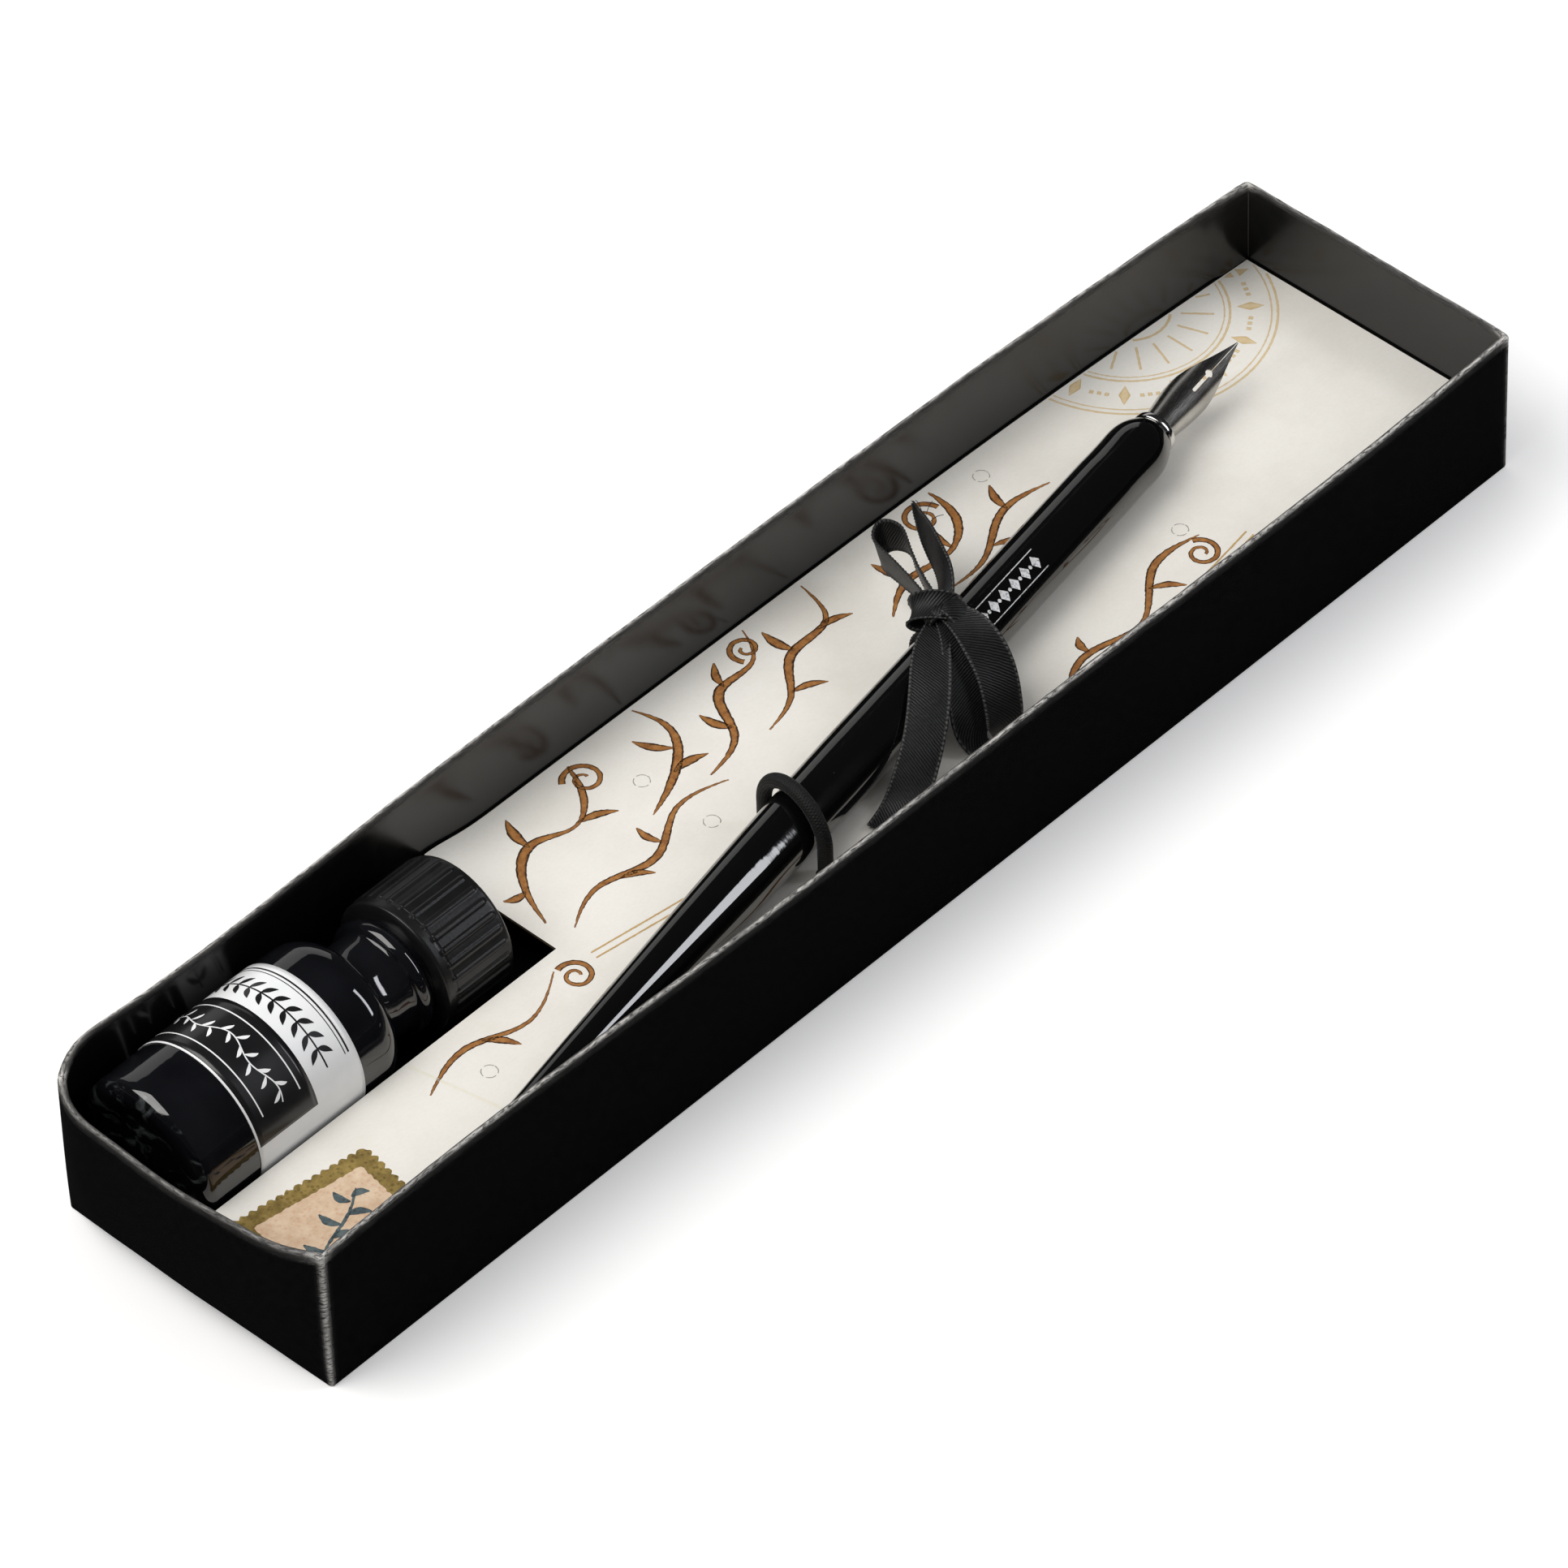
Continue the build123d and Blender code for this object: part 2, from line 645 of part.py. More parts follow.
# ---------------------------------------------------------------- elastic cord
elastic_inner = elastic_radius - elastic_turn
with BuildPart() as elastic_cord:
    with BuildLine(elastic_frame) as elastic_route:
        Line((-elastic_knot_radius / 2, elastic_low), (-elastic_inner, elastic_low))
        CenterArc((-elastic_inner, elastic_low + elastic_turn), elastic_turn, 180, 90)
        Line((-elastic_radius, elastic_low + elastic_turn), (-elastic_radius, 0))
        CenterArc((0, 0), elastic_radius, 0, 180)
        Line((elastic_radius, 0), (elastic_radius, elastic_low + elastic_turn))
        CenterArc((elastic_inner, elastic_low + elastic_turn), elastic_turn, 270, 90)
        Line((elastic_inner, elastic_low), (elastic_knot_radius / 2, elastic_low))
    with BuildSketch(Plane(origin=elastic_route.line @ 0, z_dir=elastic_route.line % 0)):
        Circle(elastic_diameter / 2)
    sweep(path=elastic_route.line)
    # its two ends tied in one knot
    with Locations(elastic_centre + Vector(0, 0, elastic_low)):
        Sphere(elastic_knot_radius)

elastic_cord.part.label = "elastic_cord"
export_step(elastic_cord.part, "parts/elastic_cord.step")
print("elastic cord radii: over the pen", round(elastic_radius, 2), "under the card", elastic_turn)

# ---------------------------------------------------------------- ribbon bow
loop_frame = Plane(
    origin=knot_centre, x_dir=bow_direction(small_loop_out), z_dir=bow_direction(small_loop_across)
)
with BuildPart() as flat_loop:
    with BuildSketch(loop_frame.offset(-ribbon_width / 2)):
        for thickness, mode in ((0, Mode.ADD), (ribbon_thickness, Mode.SUBTRACT)):
            outline = [drawn_in(point, thickness) for point in small_loop_outline]
            with BuildLine():
                Spline(outline)
                Line(outline[-1], outline[0])
            make_face(mode=mode)
    extrude(amount=ribbon_width)
strips = [
    flat_loop.part,
    bow_strip(big_loop, ribbon_wrap_width / 2),
    bow_strip(short_tail, frayed_width),
    bow_strip(long_tail, ribbon_width),
]
with BuildPart() as ribbon_bow:
    # round the barrel and through the card
    with BuildSketch(ribbon_frame.offset(-ribbon_wrap_width / 2)):
        for radius, mode in (
            (ribbon_radius + ribbon_thickness / 2, Mode.ADD),
            (ribbon_radius - ribbon_thickness / 2, Mode.SUBTRACT),
        ):
            drop = -ribbon_low + radius - ribbon_radius
            Circle(radius, mode=mode)
            Rectangle(2 * radius, drop, align=(Align.CENTER, Align.MAX), mode=mode)
    extrude(amount=ribbon_wrap_width)
    with Locations(knot_centre):
        Sphere(knot_radius)
    for strip in strips:
        add(strip)

ribbon_bow.part.label = "ribbon_bow"
export_step(ribbon_bow.part, "parts/ribbon_bow.step")
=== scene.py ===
"""Looks for a calligraphy set in an open carton tray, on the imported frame.

Metres, +Z up, X along the tray. Lengths below are written in millimetres times MM.
"""
import json
import math

import bpy
import numpy as np
from mathutils import Matrix, Vector, geometry, noise


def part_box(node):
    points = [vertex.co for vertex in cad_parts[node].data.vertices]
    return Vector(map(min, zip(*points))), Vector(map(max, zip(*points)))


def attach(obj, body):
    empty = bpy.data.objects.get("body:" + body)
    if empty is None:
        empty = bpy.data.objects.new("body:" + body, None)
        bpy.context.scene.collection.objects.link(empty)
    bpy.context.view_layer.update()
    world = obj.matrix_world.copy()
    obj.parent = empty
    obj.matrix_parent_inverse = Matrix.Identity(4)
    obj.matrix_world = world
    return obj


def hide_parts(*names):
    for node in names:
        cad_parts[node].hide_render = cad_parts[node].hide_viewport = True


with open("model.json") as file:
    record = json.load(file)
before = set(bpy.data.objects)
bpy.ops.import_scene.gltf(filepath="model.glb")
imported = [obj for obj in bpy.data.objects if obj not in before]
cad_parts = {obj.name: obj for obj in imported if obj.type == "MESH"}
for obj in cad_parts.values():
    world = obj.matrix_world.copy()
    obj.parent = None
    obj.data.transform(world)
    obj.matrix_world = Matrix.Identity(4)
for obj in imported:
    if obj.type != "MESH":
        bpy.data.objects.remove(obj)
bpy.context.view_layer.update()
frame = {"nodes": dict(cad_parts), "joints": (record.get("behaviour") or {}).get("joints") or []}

MM = 0.001
scene = bpy.context.scene
scene.view_settings.view_transform = "Standard"


# ------------------------------------------------------------------ shapes
def unit(v):
    v = np.asarray(v, float)
    return v / np.linalg.norm(v)


def spline(stations):
    """A smooth function through (place, value) stations: a natural cubic. Values may be vectors."""
    x = np.array([s[0] for s in stations], float)
    y = np.array([s[1] for s in stations], float).reshape(len(x), -1)
    h = np.diff(x)
    n = len(x)
    a = np.eye(n)
    b = np.zeros_like(y)
    for i in range(1, n - 1):
        a[i, i - 1 : i + 2] = h[i - 1], 2 * (h[i - 1] + h[i]), h[i]
        b[i] = 6 * ((y[i + 1] - y[i]) / h[i] - (y[i] - y[i - 1]) / h[i - 1])
    m = np.linalg.solve(a, b)

    def value(t):
        t = np.atleast_1d(np.asarray(t, float))
        i = np.clip(np.searchsorted(x, t) - 1, 0, n - 2)
        u = (t - x[i])[:, None]
        w = (x[i + 1] - t)[:, None]
        g = h[i][:, None]
        out = (m[i] * w**3 + m[i + 1] * u**3) / (6 * g)
        out += (y[i] / g - m[i] * g / 6) * w + (y[i + 1] / g - m[i + 1] * g / 6) * u
        return out[:, 0] if out.shape[1] == 1 else out

    return value


def through(points, count, *others):
    """A smooth line through points, evenly sampled, with others' values sampled at the same places."""
    p = np.asarray(points, float)
    chord = np.r_[0, np.cumsum(np.linalg.norm(np.diff(p, axis=0), axis=1))]
    at = np.linspace(0, chord[-1], count)
    out = [spline(list(zip(chord, p)))(at)]
    for other in others:
        out.append(spline(list(zip(chord, other)))(at))
    return out if others else out[0]


def wobble(p, scale, seed=0.0):
    """Smooth noise from -1 to 1 at a point, its features about scale across."""
    v = Vector((p[0] / scale + seed, p[1] / scale - seed, p[2] / scale + 2 * seed))
    return noise.noise(v)


def near(distance, width):
    """1 at no distance, falling off as a bell of the given width."""
    return math.exp(-((distance / width) ** 2))


def make(name, verts, faces, uv=None, values=None, smooth=True):
    """A mesh object. uv is per point, values are named lists of one number per point."""
    mesh = bpy.data.meshes.new(name)
    mesh.from_pydata([tuple(map(float, v)) for v in verts], [], [tuple(map(int, f)) for f in faces])
    if uv is not None:
        layer = mesh.uv_layers.new(name="UVMap")
        index = np.zeros(len(mesh.loops), int)
        mesh.loops.foreach_get("vertex_index", index)
        layer.data.foreach_set("uv", np.asarray(uv, np.float32)[index].ravel())
    for key, numbers in (values or {}).items():
        attribute = mesh.attributes.new(key, "FLOAT", "POINT")
        attribute.data.foreach_set("value", np.asarray(numbers, np.float32))
    mesh.polygons.foreach_set("use_smooth", [smooth] * len(mesh.polygons))
    mesh.update()
    obj = bpy.data.objects.new(name, mesh)
    scene.collection.objects.link(obj)
    return obj


def grid(rows, cols, close_rows=False, close_cols=False, start=0):
    """Faces of a grid of points numbered row by row."""
    faces = []
    for i in range(rows if close_rows else rows - 1):
        for j in range(cols if close_cols else cols - 1):
            a = start + i * cols + j
            b = start + i * cols + (j + 1) % cols
            c = start + ((i + 1) % rows) * cols + (j + 1) % cols
            d = start + ((i + 1) % rows) * cols + j
            faces.append((a, b, c, d))
    return faces


def sheet_faces(rows, cols, start=0, flipped=False):
    """Faces of a thin sheet: one grid of points above another, closed round the border."""
    n = rows * cols
    faces = grid(rows, cols, start=start) + [f[::-1] for f in grid(rows, cols, start=start + n)]
    border = list(range(cols)) + [i * cols + cols - 1 for i in range(1, rows)]
    border += [(rows - 1) * cols + j for j in range(cols - 2, -1, -1)]
    border += [i * cols for i in range(rows - 2, 0, -1)]
    for a, b in zip(border, border[1:] + border[:1]):
        faces.append((start + b, start + a, start + n + a, start + n + b))
    return [f[::-1] for f in faces] if flipped else faces


def revolved(name, profile, origin, along, up, columns=128, shape=None):
    """A solid turned about a line. profile is (along, radius) pairs, shape alters the radius by angle."""
    along, up = unit(along), unit(up)
    side = np.cross(along, up)
    angles = np.linspace(0, 2 * math.pi, columns, endpoint=False)
    verts, uv = [], []
    run = 0.0
    last = profile[0]
    for t, r in profile:
        run += math.hypot(t - last[0], r - last[1])
        last = (t, r)
        radii = np.full(columns, r) if shape is None else shape(t, r, angles)
        ring = np.outer(radii * np.cos(angles), up) + np.outer(radii * np.sin(angles), side)
        verts.extend(np.asarray(origin) + along * t + ring)
        uv.extend((run, a * r) for a in angles)
    faces = grid(len(profile), columns, close_cols=True)
    faces = [f[::-1] for f in faces]
    faces.append(tuple(range(columns)))
    faces.append(tuple(len(verts) - 1 - i for i in range(columns)))
    return make(name, verts, faces, uv)


def arc(cx, cy, rx, ry, start, end, count):
    """Points of an ellipse's arc, both ends included, angles in degrees."""
    turn = np.radians(np.linspace(start, end, count))
    return [(cx + rx * math.cos(a), cy + ry * math.sin(a)) for a in turn]


def sloped(points, step):
    """A polyline with more points, so that no stretch is longer than step."""
    out = [points[0]]
    for a, b in zip(points, points[1:]):
        n = max(1, int(math.hypot(b[0] - a[0], b[1] - a[1]) / step))
        out.extend((a[0] + (b[0] - a[0]) * i / n, a[1] + (b[1] - a[1]) * i / n) for i in range(1, n + 1))
    return out


def joined(name, objects):
    """Several meshes made one."""
    bpy.ops.object.select_all(action="DESELECT")
    for o in objects:
        o.select_set(True)
    bpy.context.view_layer.objects.active = objects[0]
    bpy.ops.object.join()
    objects[0].name = name
    return objects[0]


# ------------------------------------------------------------------ materials
class Shader:
    """A material's nodes, written as short calls."""

    def __init__(self, name):
        self.mat = bpy.data.materials.new(name)
        self.mat.use_nodes = True
        self.tree = self.mat.node_tree
        self.bsdf = self.tree.nodes["Principled BSDF"]

    def node(self, kind, **settings):
        n = self.tree.nodes.new(kind)
        for key, value in settings.items():
            setattr(n, key, value)
        return n

    def link(self, a, b):
        self.tree.links.new(a, b)

    def put(self, socket, value):
        """A number, a colour or a link into a socket."""
        if isinstance(value, bpy.types.NodeSocket):
            self.link(value, socket)
        else:
            socket.default_value = value

    def set(self, **inputs):
        for key, value in inputs.items():
            self.put(self.bsdf.inputs[key.replace("_", " ")], value)

    def place(self, kind="Object"):
        if kind == "UV":
            return self.node("ShaderNodeUVMap", uv_map="UVMap").outputs[0]
        return self.node("ShaderNodeTexCoord").outputs["Object"]

    def value(self, name):
        return self.node("ShaderNodeAttribute", attribute_name=name).outputs["Fac"]

    def scaled(self, vector, x, y, z):
        n = self.node("ShaderNodeVectorMath", operation="MULTIPLY")
        self.link(vector, n.inputs[0])
        n.inputs[1].default_value = (x, y, z)
        return n.outputs[0]

    def noise(self, vector, scale, detail=4.0, rough=0.5, distortion=0.0):
        n = self.node("ShaderNodeTexNoise")
        self.link(vector, n.inputs["Vector"])
        n.inputs["Scale"].default_value = scale
        n.inputs["Detail"].default_value = detail
        n.inputs["Roughness"].default_value = rough
        n.inputs["Distortion"].default_value = distortion
        return n.outputs["Fac"]

    def cells(self, vector, scale):
        n = self.node("ShaderNodeTexVoronoi", feature="F1")
        self.link(vector, n.inputs["Vector"])
        n.inputs["Scale"].default_value = scale
        return n.outputs["Distance"]

    def wave(self, vector, scale, distortion):
        n = self.node("ShaderNodeTexWave", bands_direction="X", wave_profile="SIN")
        self.link(vector, n.inputs["Vector"])
        n.inputs["Scale"].default_value = scale
        n.inputs["Distortion"].default_value = distortion
        return n.outputs["Fac"]

    def ramp(self, factor, *stops):
        """Maps a factor through (place, colour or grey) stops."""
        n = self.node("ShaderNodeValToRGB")
        points = n.color_ramp.elements
        while len(points) < len(stops):
            points.new(0.5)
        for point, (at, colour) in zip(points, stops):
            point.position = at
            grey = not hasattr(colour, "__len__")
            point.color = (colour, colour, colour, 1) if grey else (*colour, 1)
        self.link(factor, n.inputs[0])
        return n.outputs["Color"]

    def mix(self, factor, a, b):
        n = self.node("ShaderNodeMix", data_type="RGBA", blend_type="MIX")
        self.put(n.inputs[0], factor)
        for socket, value in ((n.inputs[6], a), (n.inputs[7], b)):
            self.put(socket, value if isinstance(value, bpy.types.NodeSocket) else (*value, 1))
        return n.outputs[2]

    def math(self, operation, a, b=0.0):
        n = self.node("ShaderNodeMath", operation=operation)
        self.put(n.inputs[0], a)
        self.put(n.inputs[1], b)
        return n.outputs[0]

    def part(self, vector, axis):
        n = self.node("ShaderNodeSeparateXYZ")
        self.link(vector, n.inputs[0])
        return n.outputs[axis]

    def bump(self, *layers):
        """Bumps from (height, strength, distance) layers, one on another."""
        normal = None
        for height, strength, distance in layers:
            n = self.node("ShaderNodeBump")
            n.inputs["Strength"].default_value = strength
            n.inputs["Distance"].default_value = distance
            self.link(height, n.inputs["Height"])
            if normal is not None:
                self.link(normal, n.inputs["Normal"])
            normal = n.outputs["Normal"]
        self.link(normal, self.bsdf.inputs["Normal"])


def board_material():
    """Black laminated board: a soft sheen, and a pale band along the folds, partly rubbed wear and, on the
    rolled rim, partly painted highlight.
    """
    s = Shader("tray_board")
    uv = s.place("UV")
    spot = s.place()
    fold = s.value("fold")
    crease = s.value("crease")
    ink = s.ramp(s.noise(spot, 900, 6), (0.3, (0.0022, 0.0022, 0.0024)), (0.75, (0.0042, 0.0041, 0.0041)))
    rubbed = s.noise(s.scaled(uv, 420, 2600, 1), 1, 6, 0.7)
    # pale band on the folds: rubbed wear, and on the rolled rim a painted highlight
    wear_and_highlight_band = s.ramp(rubbed, (0.35, (0.014, 0.0135, 0.013)), (0.7, (0.085, 0.082, 0.078)))
    colour = s.mix(fold, ink, wear_and_highlight_band)
    # the line where the laminate has cracked
    flakes = s.ramp(s.noise(s.scaled(uv, 760, 3400, 1), 1, 8, 0.75, 0.4), (0.42, 0.0), (0.53, 1.0))
    stretch = s.ramp(s.noise(s.scaled(uv, 60, 60, 1), 1, 3), (0.3, 0.55), (0.55, 1.0))
    worn = s.math("MULTIPLY", s.math("MULTIPLY", crease, flakes), stretch)
    colour = s.mix(worn, colour, (0.62, 0.60, 0.57))
    rough = s.ramp(s.noise(spot, 260, 5), (0.3, 0.20), (0.7, 0.27))
    rough = s.mix(fold, rough, (0.5, 0.5, 0.5))
    s.set(Base_Color=colour, Roughness=rough, Specular_IOR_Level=0.5)
    grain = s.noise(spot, 1500, 3)
    waves = s.noise(s.scaled(uv, 26, 9, 1), 1, 2)
    s.bump((waves, 0.35, 0.0016), (grain, 0.02, 0.0001), (s.math("MULTIPLY", flakes, fold), 0.45, 0.0003))
    return s.mat


def card_material():
    """Uncoated cream card with a faint mottle, and painted shade on its cut edges."""
    s = Shader("printed_card")
    spot = s.place()
    clouds = s.noise(spot, 70, 6, 0.62)
    fibres = s.noise(s.scaled(spot, 1, 1.6, 1), 1400, 4, 0.7)
    pale, deep = (0.85, 0.83, 0.785), (0.785, 0.755, 0.695)
    colour = s.ramp(clouds, (0.3, deep), (0.52, (0.83, 0.805, 0.75)), (0.75, pale))
    specks = s.math("MULTIPLY", s.ramp(fibres, (0.35, 1.0), (0.6, 0.0)), 0.10)
    colour = s.mix(specks, colour, (0.62, 0.56, 0.44))
    # the cut edges are painted dark brown: painted shade on the edges
    edge = s.value("edge")
    colour = s.mix(edge, colour, (0.09, 0.066, 0.04))
    s.set(Base_Color=colour, Roughness=0.62, Specular_IOR_Level=0.25)
    s.bump((fibres, 0.12, 0.00006), (clouds, 0.1, 0.0003))
    return s.mat


def stroke_material(name, dark, light, mottled):
    """A printed line, or a line of painted shade: dark ragged edges, a lighter mottled middle."""
    s = Shader(name)
    uv = s.place("UV")
    spot = s.place()
    across = s.part(uv, 1)
    blur = s.math("MULTIPLY", s.math("SUBTRACT", s.noise(spot, 1800, 5, 0.7), 0.5), 0.5)
    middle = s.math("ABSOLUTE", s.math("SUBTRACT", s.math("ADD", across, blur), 0.5))
    outline = s.ramp(middle, (0.26, 0.0), (0.40, 1.0))
    mottle = s.ramp(s.noise(spot, 900, 6, 0.7), (0.36, 0.0), (0.62, 1.0))
    fill = s.mix(mottle, mottled, light)
    s.set(Base_Color=s.mix(outline, fill, dark), Roughness=0.5, Specular_IOR_Level=0.25)
    s.bump((s.noise(spot, 1500, 3), 0.06, 0.00005))
    return s.mat


def patch_material(name, low, high, speck, amount):
    """Printed tone with specks."""
    s = Shader(name)
    spot = s.place()
    tone = s.ramp(s.noise(spot, 420, 6, 0.7), (0.34, low), (0.66, high))
    dots = s.math("MULTIPLY", s.ramp(s.cells(spot, 1300), (0.18, 1.0), (0.42, 0.0)), amount)
    s.set(Base_Color=s.mix(dots, tone, speck), Roughness=0.55, Specular_IOR_Level=0.25)
    s.bump((s.noise(spot, 1500, 3), 0.06, 0.00005))
    return s.mat


def lacquer_material():
    """Black gloss lacquer with a slight ripple and a few specks of dust."""
    s = Shader("holder_lacquer")
    uv = s.place("UV")
    spot = s.place()
    ripple = s.noise(s.scaled(uv, 330, 110, 1), 1, 3, 0.5)
    dust = s.ramp(s.cells(spot, 420), (0.0, 1.0), (0.035, 0.0))
    s.set(Base_Color=s.mix(dust, (0.0022, 0.0022, 0.0024), (0.10, 0.10, 0.10)))
    s.set(Roughness=s.ramp(s.noise(spot, 120, 4), (0.3, 0.045), (0.8, 0.075)))
    s.set(Specular_IOR_Level=0.55, Coat_Weight=0.6, Coat_Roughness=0.03)
    s.bump((ripple, 0.22, 0.00012), (s.noise(spot, 900, 3), 0.02, 0.00006))
    return s.mat


def nib_material():
    """Bright spring steel, brushed along the nib."""
    s = Shader("nib_steel")
    uv = s.place("UV")
    spot = s.place()
    brushed = s.noise(s.scaled(uv, 500, 9000, 1), 1, 4, 0.6)
    s.set(Base_Color=s.ramp(s.noise(spot, 300, 4), (0.3, (0.40, 0.385, 0.36)), (0.7, (0.53, 0.515, 0.49))))
    s.set(Metallic=1.0, Roughness=s.ramp(brushed, (0.3, 0.2), (0.7, 0.3)))
    s.bump((brushed, 0.06, 0.00002), (s.noise(spot, 300, 2), 0.04, 0.0001))
    return s.mat


def glass_material():
    """Gloss black glass, a little uneven as moulded glass is."""
    s = Shader("bottle_glass")
    spot = s.place()
    swell = s.noise(spot, 95, 3, 0.5)
    fine = s.noise(s.scaled(spot, 1, 0.4, 0.4), 420, 3, 0.5)
    dark, light = (0.0028, 0.0030, 0.0042), (0.0065, 0.0068, 0.0085)
    s.set(Base_Color=s.ramp(s.noise(spot, 130, 3), (0.3, dark), (0.7, light)))
    s.set(Roughness=s.ramp(fine, (0.3, 0.035), (0.8, 0.07)))
    s.set(Specular_IOR_Level=0.6, Coat_Weight=0.5, Coat_Roughness=0.02)
    s.bump((swell, 0.16, 0.0011), (fine, 0.05, 0.0002))
    return s.mat


def base_material():
    """The bottle's thick foot, where light caught in the glass is painted into its colour as pale swirls."""
    s = Shader("bottle_foot_glass")
    spot = s.place()
    swirl = s.noise(s.scaled(spot, 1, 1, 1.5), 190, 4, 0.55, 1.6)
    # pale swirls in the colour: painted glints of light caught in the glass
    painted_glints = s.ramp(swirl, (0.56, 0.0), (0.74, 1.0))
    s.set(Base_Color=s.mix(painted_glints, (0.003, 0.0032, 0.0042), (0.09, 0.10, 0.10)))
    s.set(Roughness=s.ramp(swirl, (0.3, 0.04), (0.8, 0.14)))
    s.set(Specular_IOR_Level=0.6, Coat_Weight=0.6, Coat_Roughness=0.02)
    s.bump((s.noise(spot, 150, 2, 0.5), 0.25, 0.0006))
    return s.mat


def mottled(name, tone, rough, bumps, **settings):
    """A plain surface. tone is (scale, detail, low, high), rough a number or the same, bumps are
    (scale, detail, strength, distance)."""
    s = Shader(name)
    spot = s.place()

    def ramped(scale, detail, low, high, upto=0.7):
        return s.ramp(s.noise(spot, scale, detail), (0.3, low), (upto, high))

    s.set(Roughness=ramped(*rough) if isinstance(rough, tuple) else rough)
    s.set(Base_Color=ramped(*tone), **settings)
    s.bump(*((s.noise(spot, scale, detail), a, b) for scale, detail, a, b in bumps))
    return s.mat


def paper_material(name, colour, shade, gloss):
    """Coated label paper."""
    grain = [(900, 3, 0.05, 0.00005), (130, 2, 0.08, 0.0004)]
    coat = {"Specular_IOR_Level": 0.45, "Coat_Weight": 0.35, "Coat_Roughness": 0.12}
    return mottled(name, (240, 5, shade, colour), gloss, grain, **coat)


def plain_material(name, colour, rough, metal=0.0):
    """For pieces that stay inside the others: plain, with a light mottle."""
    tone = (400, 4, tuple(0.8 * c for c in colour), colour)
    return mottled(name, tone, (300, 4, rough * 0.8, rough), [(900, 3, 0.1, 0.0001)], Metallic=metal)


def foil_material():
    """Silver foil print, a little rubbed."""
    s = Shader("foil_print")
    rubbed = s.noise(s.place("UV"), 2400, 4, 0.65)
    s.set(Base_Color=s.ramp(rubbed, (0.34, (0.12, 0.12, 0.12)), (0.5, (0.7, 0.7, 0.71))))
    s.set(Metallic=0.3, Roughness=0.38, Specular_IOR_Level=0.6)
    s.bump((rubbed, 0.1, 0.00003))
    return s.mat


def braid_material():
    s = Shader("elastic")
    uv = s.place("UV")
    hair = s.noise(s.scaled(uv, 2600, 2600, 1), 1, 4, 0.7)
    s.set(Base_Color=s.ramp(hair, (0.3, (0.002, 0.002, 0.002)), (0.75, (0.011, 0.011, 0.011))))
    s.set(Roughness=0.62, Specular_IOR_Level=0.3, Sheen_Weight=0.12, Sheen_Roughness=0.4)
    s.bump((hair, 0.3, 0.0001))
    return s.mat


def satin_material():
    """Black satin ribbon: a fine slanting weave and stitched edges."""
    s = Shader("ribbon")
    uv = s.place("UV")
    edge = s.value("selvedge")
    turned = s.node("ShaderNodeMapping")
    turned.inputs["Rotation"].default_value = (0, 0, math.radians(38))
    s.link(uv, turned.inputs["Vector"])
    lines = s.wave(turned.outputs[0], 820, 2.0)
    threads = s.noise(s.scaled(uv, 5200, 900, 1), 1, 3, 0.6)
    woven = s.math("MULTIPLY", lines, threads)
    satin = s.ramp(woven, (0.08, (0.0022, 0.0022, 0.0024)), (0.5, (0.019, 0.019, 0.020)))
    colour = s.mix(edge, satin, (0.09, 0.09, 0.088))
    s.set(Base_Color=colour, Roughness=s.ramp(threads, (0.3, 0.38), (0.7, 0.52)))
    s.set(Specular_IOR_Level=0.32, Sheen_Weight=0.02, Sheen_Roughness=0.35, Anisotropic=0.4)
    s.bump((lines, 0.6, 0.00008), (threads, 0.35, 0.00007))
    return s.mat


def floor_material():
    """Pale table, darker to glossy rays than to the camera, so that gloss black stays black."""
    s = Shader("pale_floor")
    path = s.node("ShaderNodeLightPath")
    tone = s.mix(path.outputs["Is Glossy Ray"], (0.92, 0.92, 0.92), (0.012, 0.012, 0.013))
    s.set(Base_Color=tone, Roughness=0.9, Specular_IOR_Level=0.0)
    glow = s.math("MULTIPLY", path.outputs["Is Camera Ray"], 0.14)
    s.set(Emission_Color=(1, 1, 1, 1), Emission_Strength=glow)
    return s.mat


board = board_material()
card_paper = card_material()
brown_ink = stroke_material("print_brown", (0.035, 0.016, 0.009), (0.42, 0.19, 0.055), (0.24, 0.095, 0.028))
ochre_ink = stroke_material("print_ochre", (0.42, 0.26, 0.09), (0.62, 0.42, 0.18), (0.5, 0.32, 0.12))
pale_ink = stroke_material("print_pale_ochre", (0.62, 0.46, 0.24), (0.74, 0.6, 0.38), (0.68, 0.52, 0.3))
# dark rings of the half-punched cuts: painted shade in the cuts
cut_shade_ink = stroke_material("painted_cut_shade", (0.16, 0.14, 0.12), (0.3, 0.28, 0.25), (0.5, 0.48, 0.44))
teal_ink = patch_material("print_teal", (0.045, 0.07, 0.085), (0.13, 0.17, 0.17), (0.03, 0.02, 0.02), 0.5)
peach = patch_material("print_peach", (0.60, 0.42, 0.28), (0.74, 0.58, 0.42), (0.55, 0.27, 0.16), 0.35)
gold = patch_material("print_gold", (0.15, 0.10, 0.025), (0.34, 0.24, 0.07), (0.06, 0.04, 0.01), 0.5)
lacquer = lacquer_material()
chrome = mottled(
    "sleeve_chrome", (500, 4, (0.62, 0.61, 0.60), (0.74, 0.735, 0.73)), (700, 5, 0.09, 0.2, 0.75),
    [(1300, 3, 0.08, 0.00005)], Metallic=1.0,
)
steel = nib_material()
glass = glass_material()
foot_glass = base_material()
white_paper = paper_material("label_paper", (0.86, 0.865, 0.87), (0.80, 0.81, 0.82), 0.3)
black_paper = paper_material("label_black", (0.012, 0.012, 0.013), (0.006, 0.006, 0.007), 0.28)
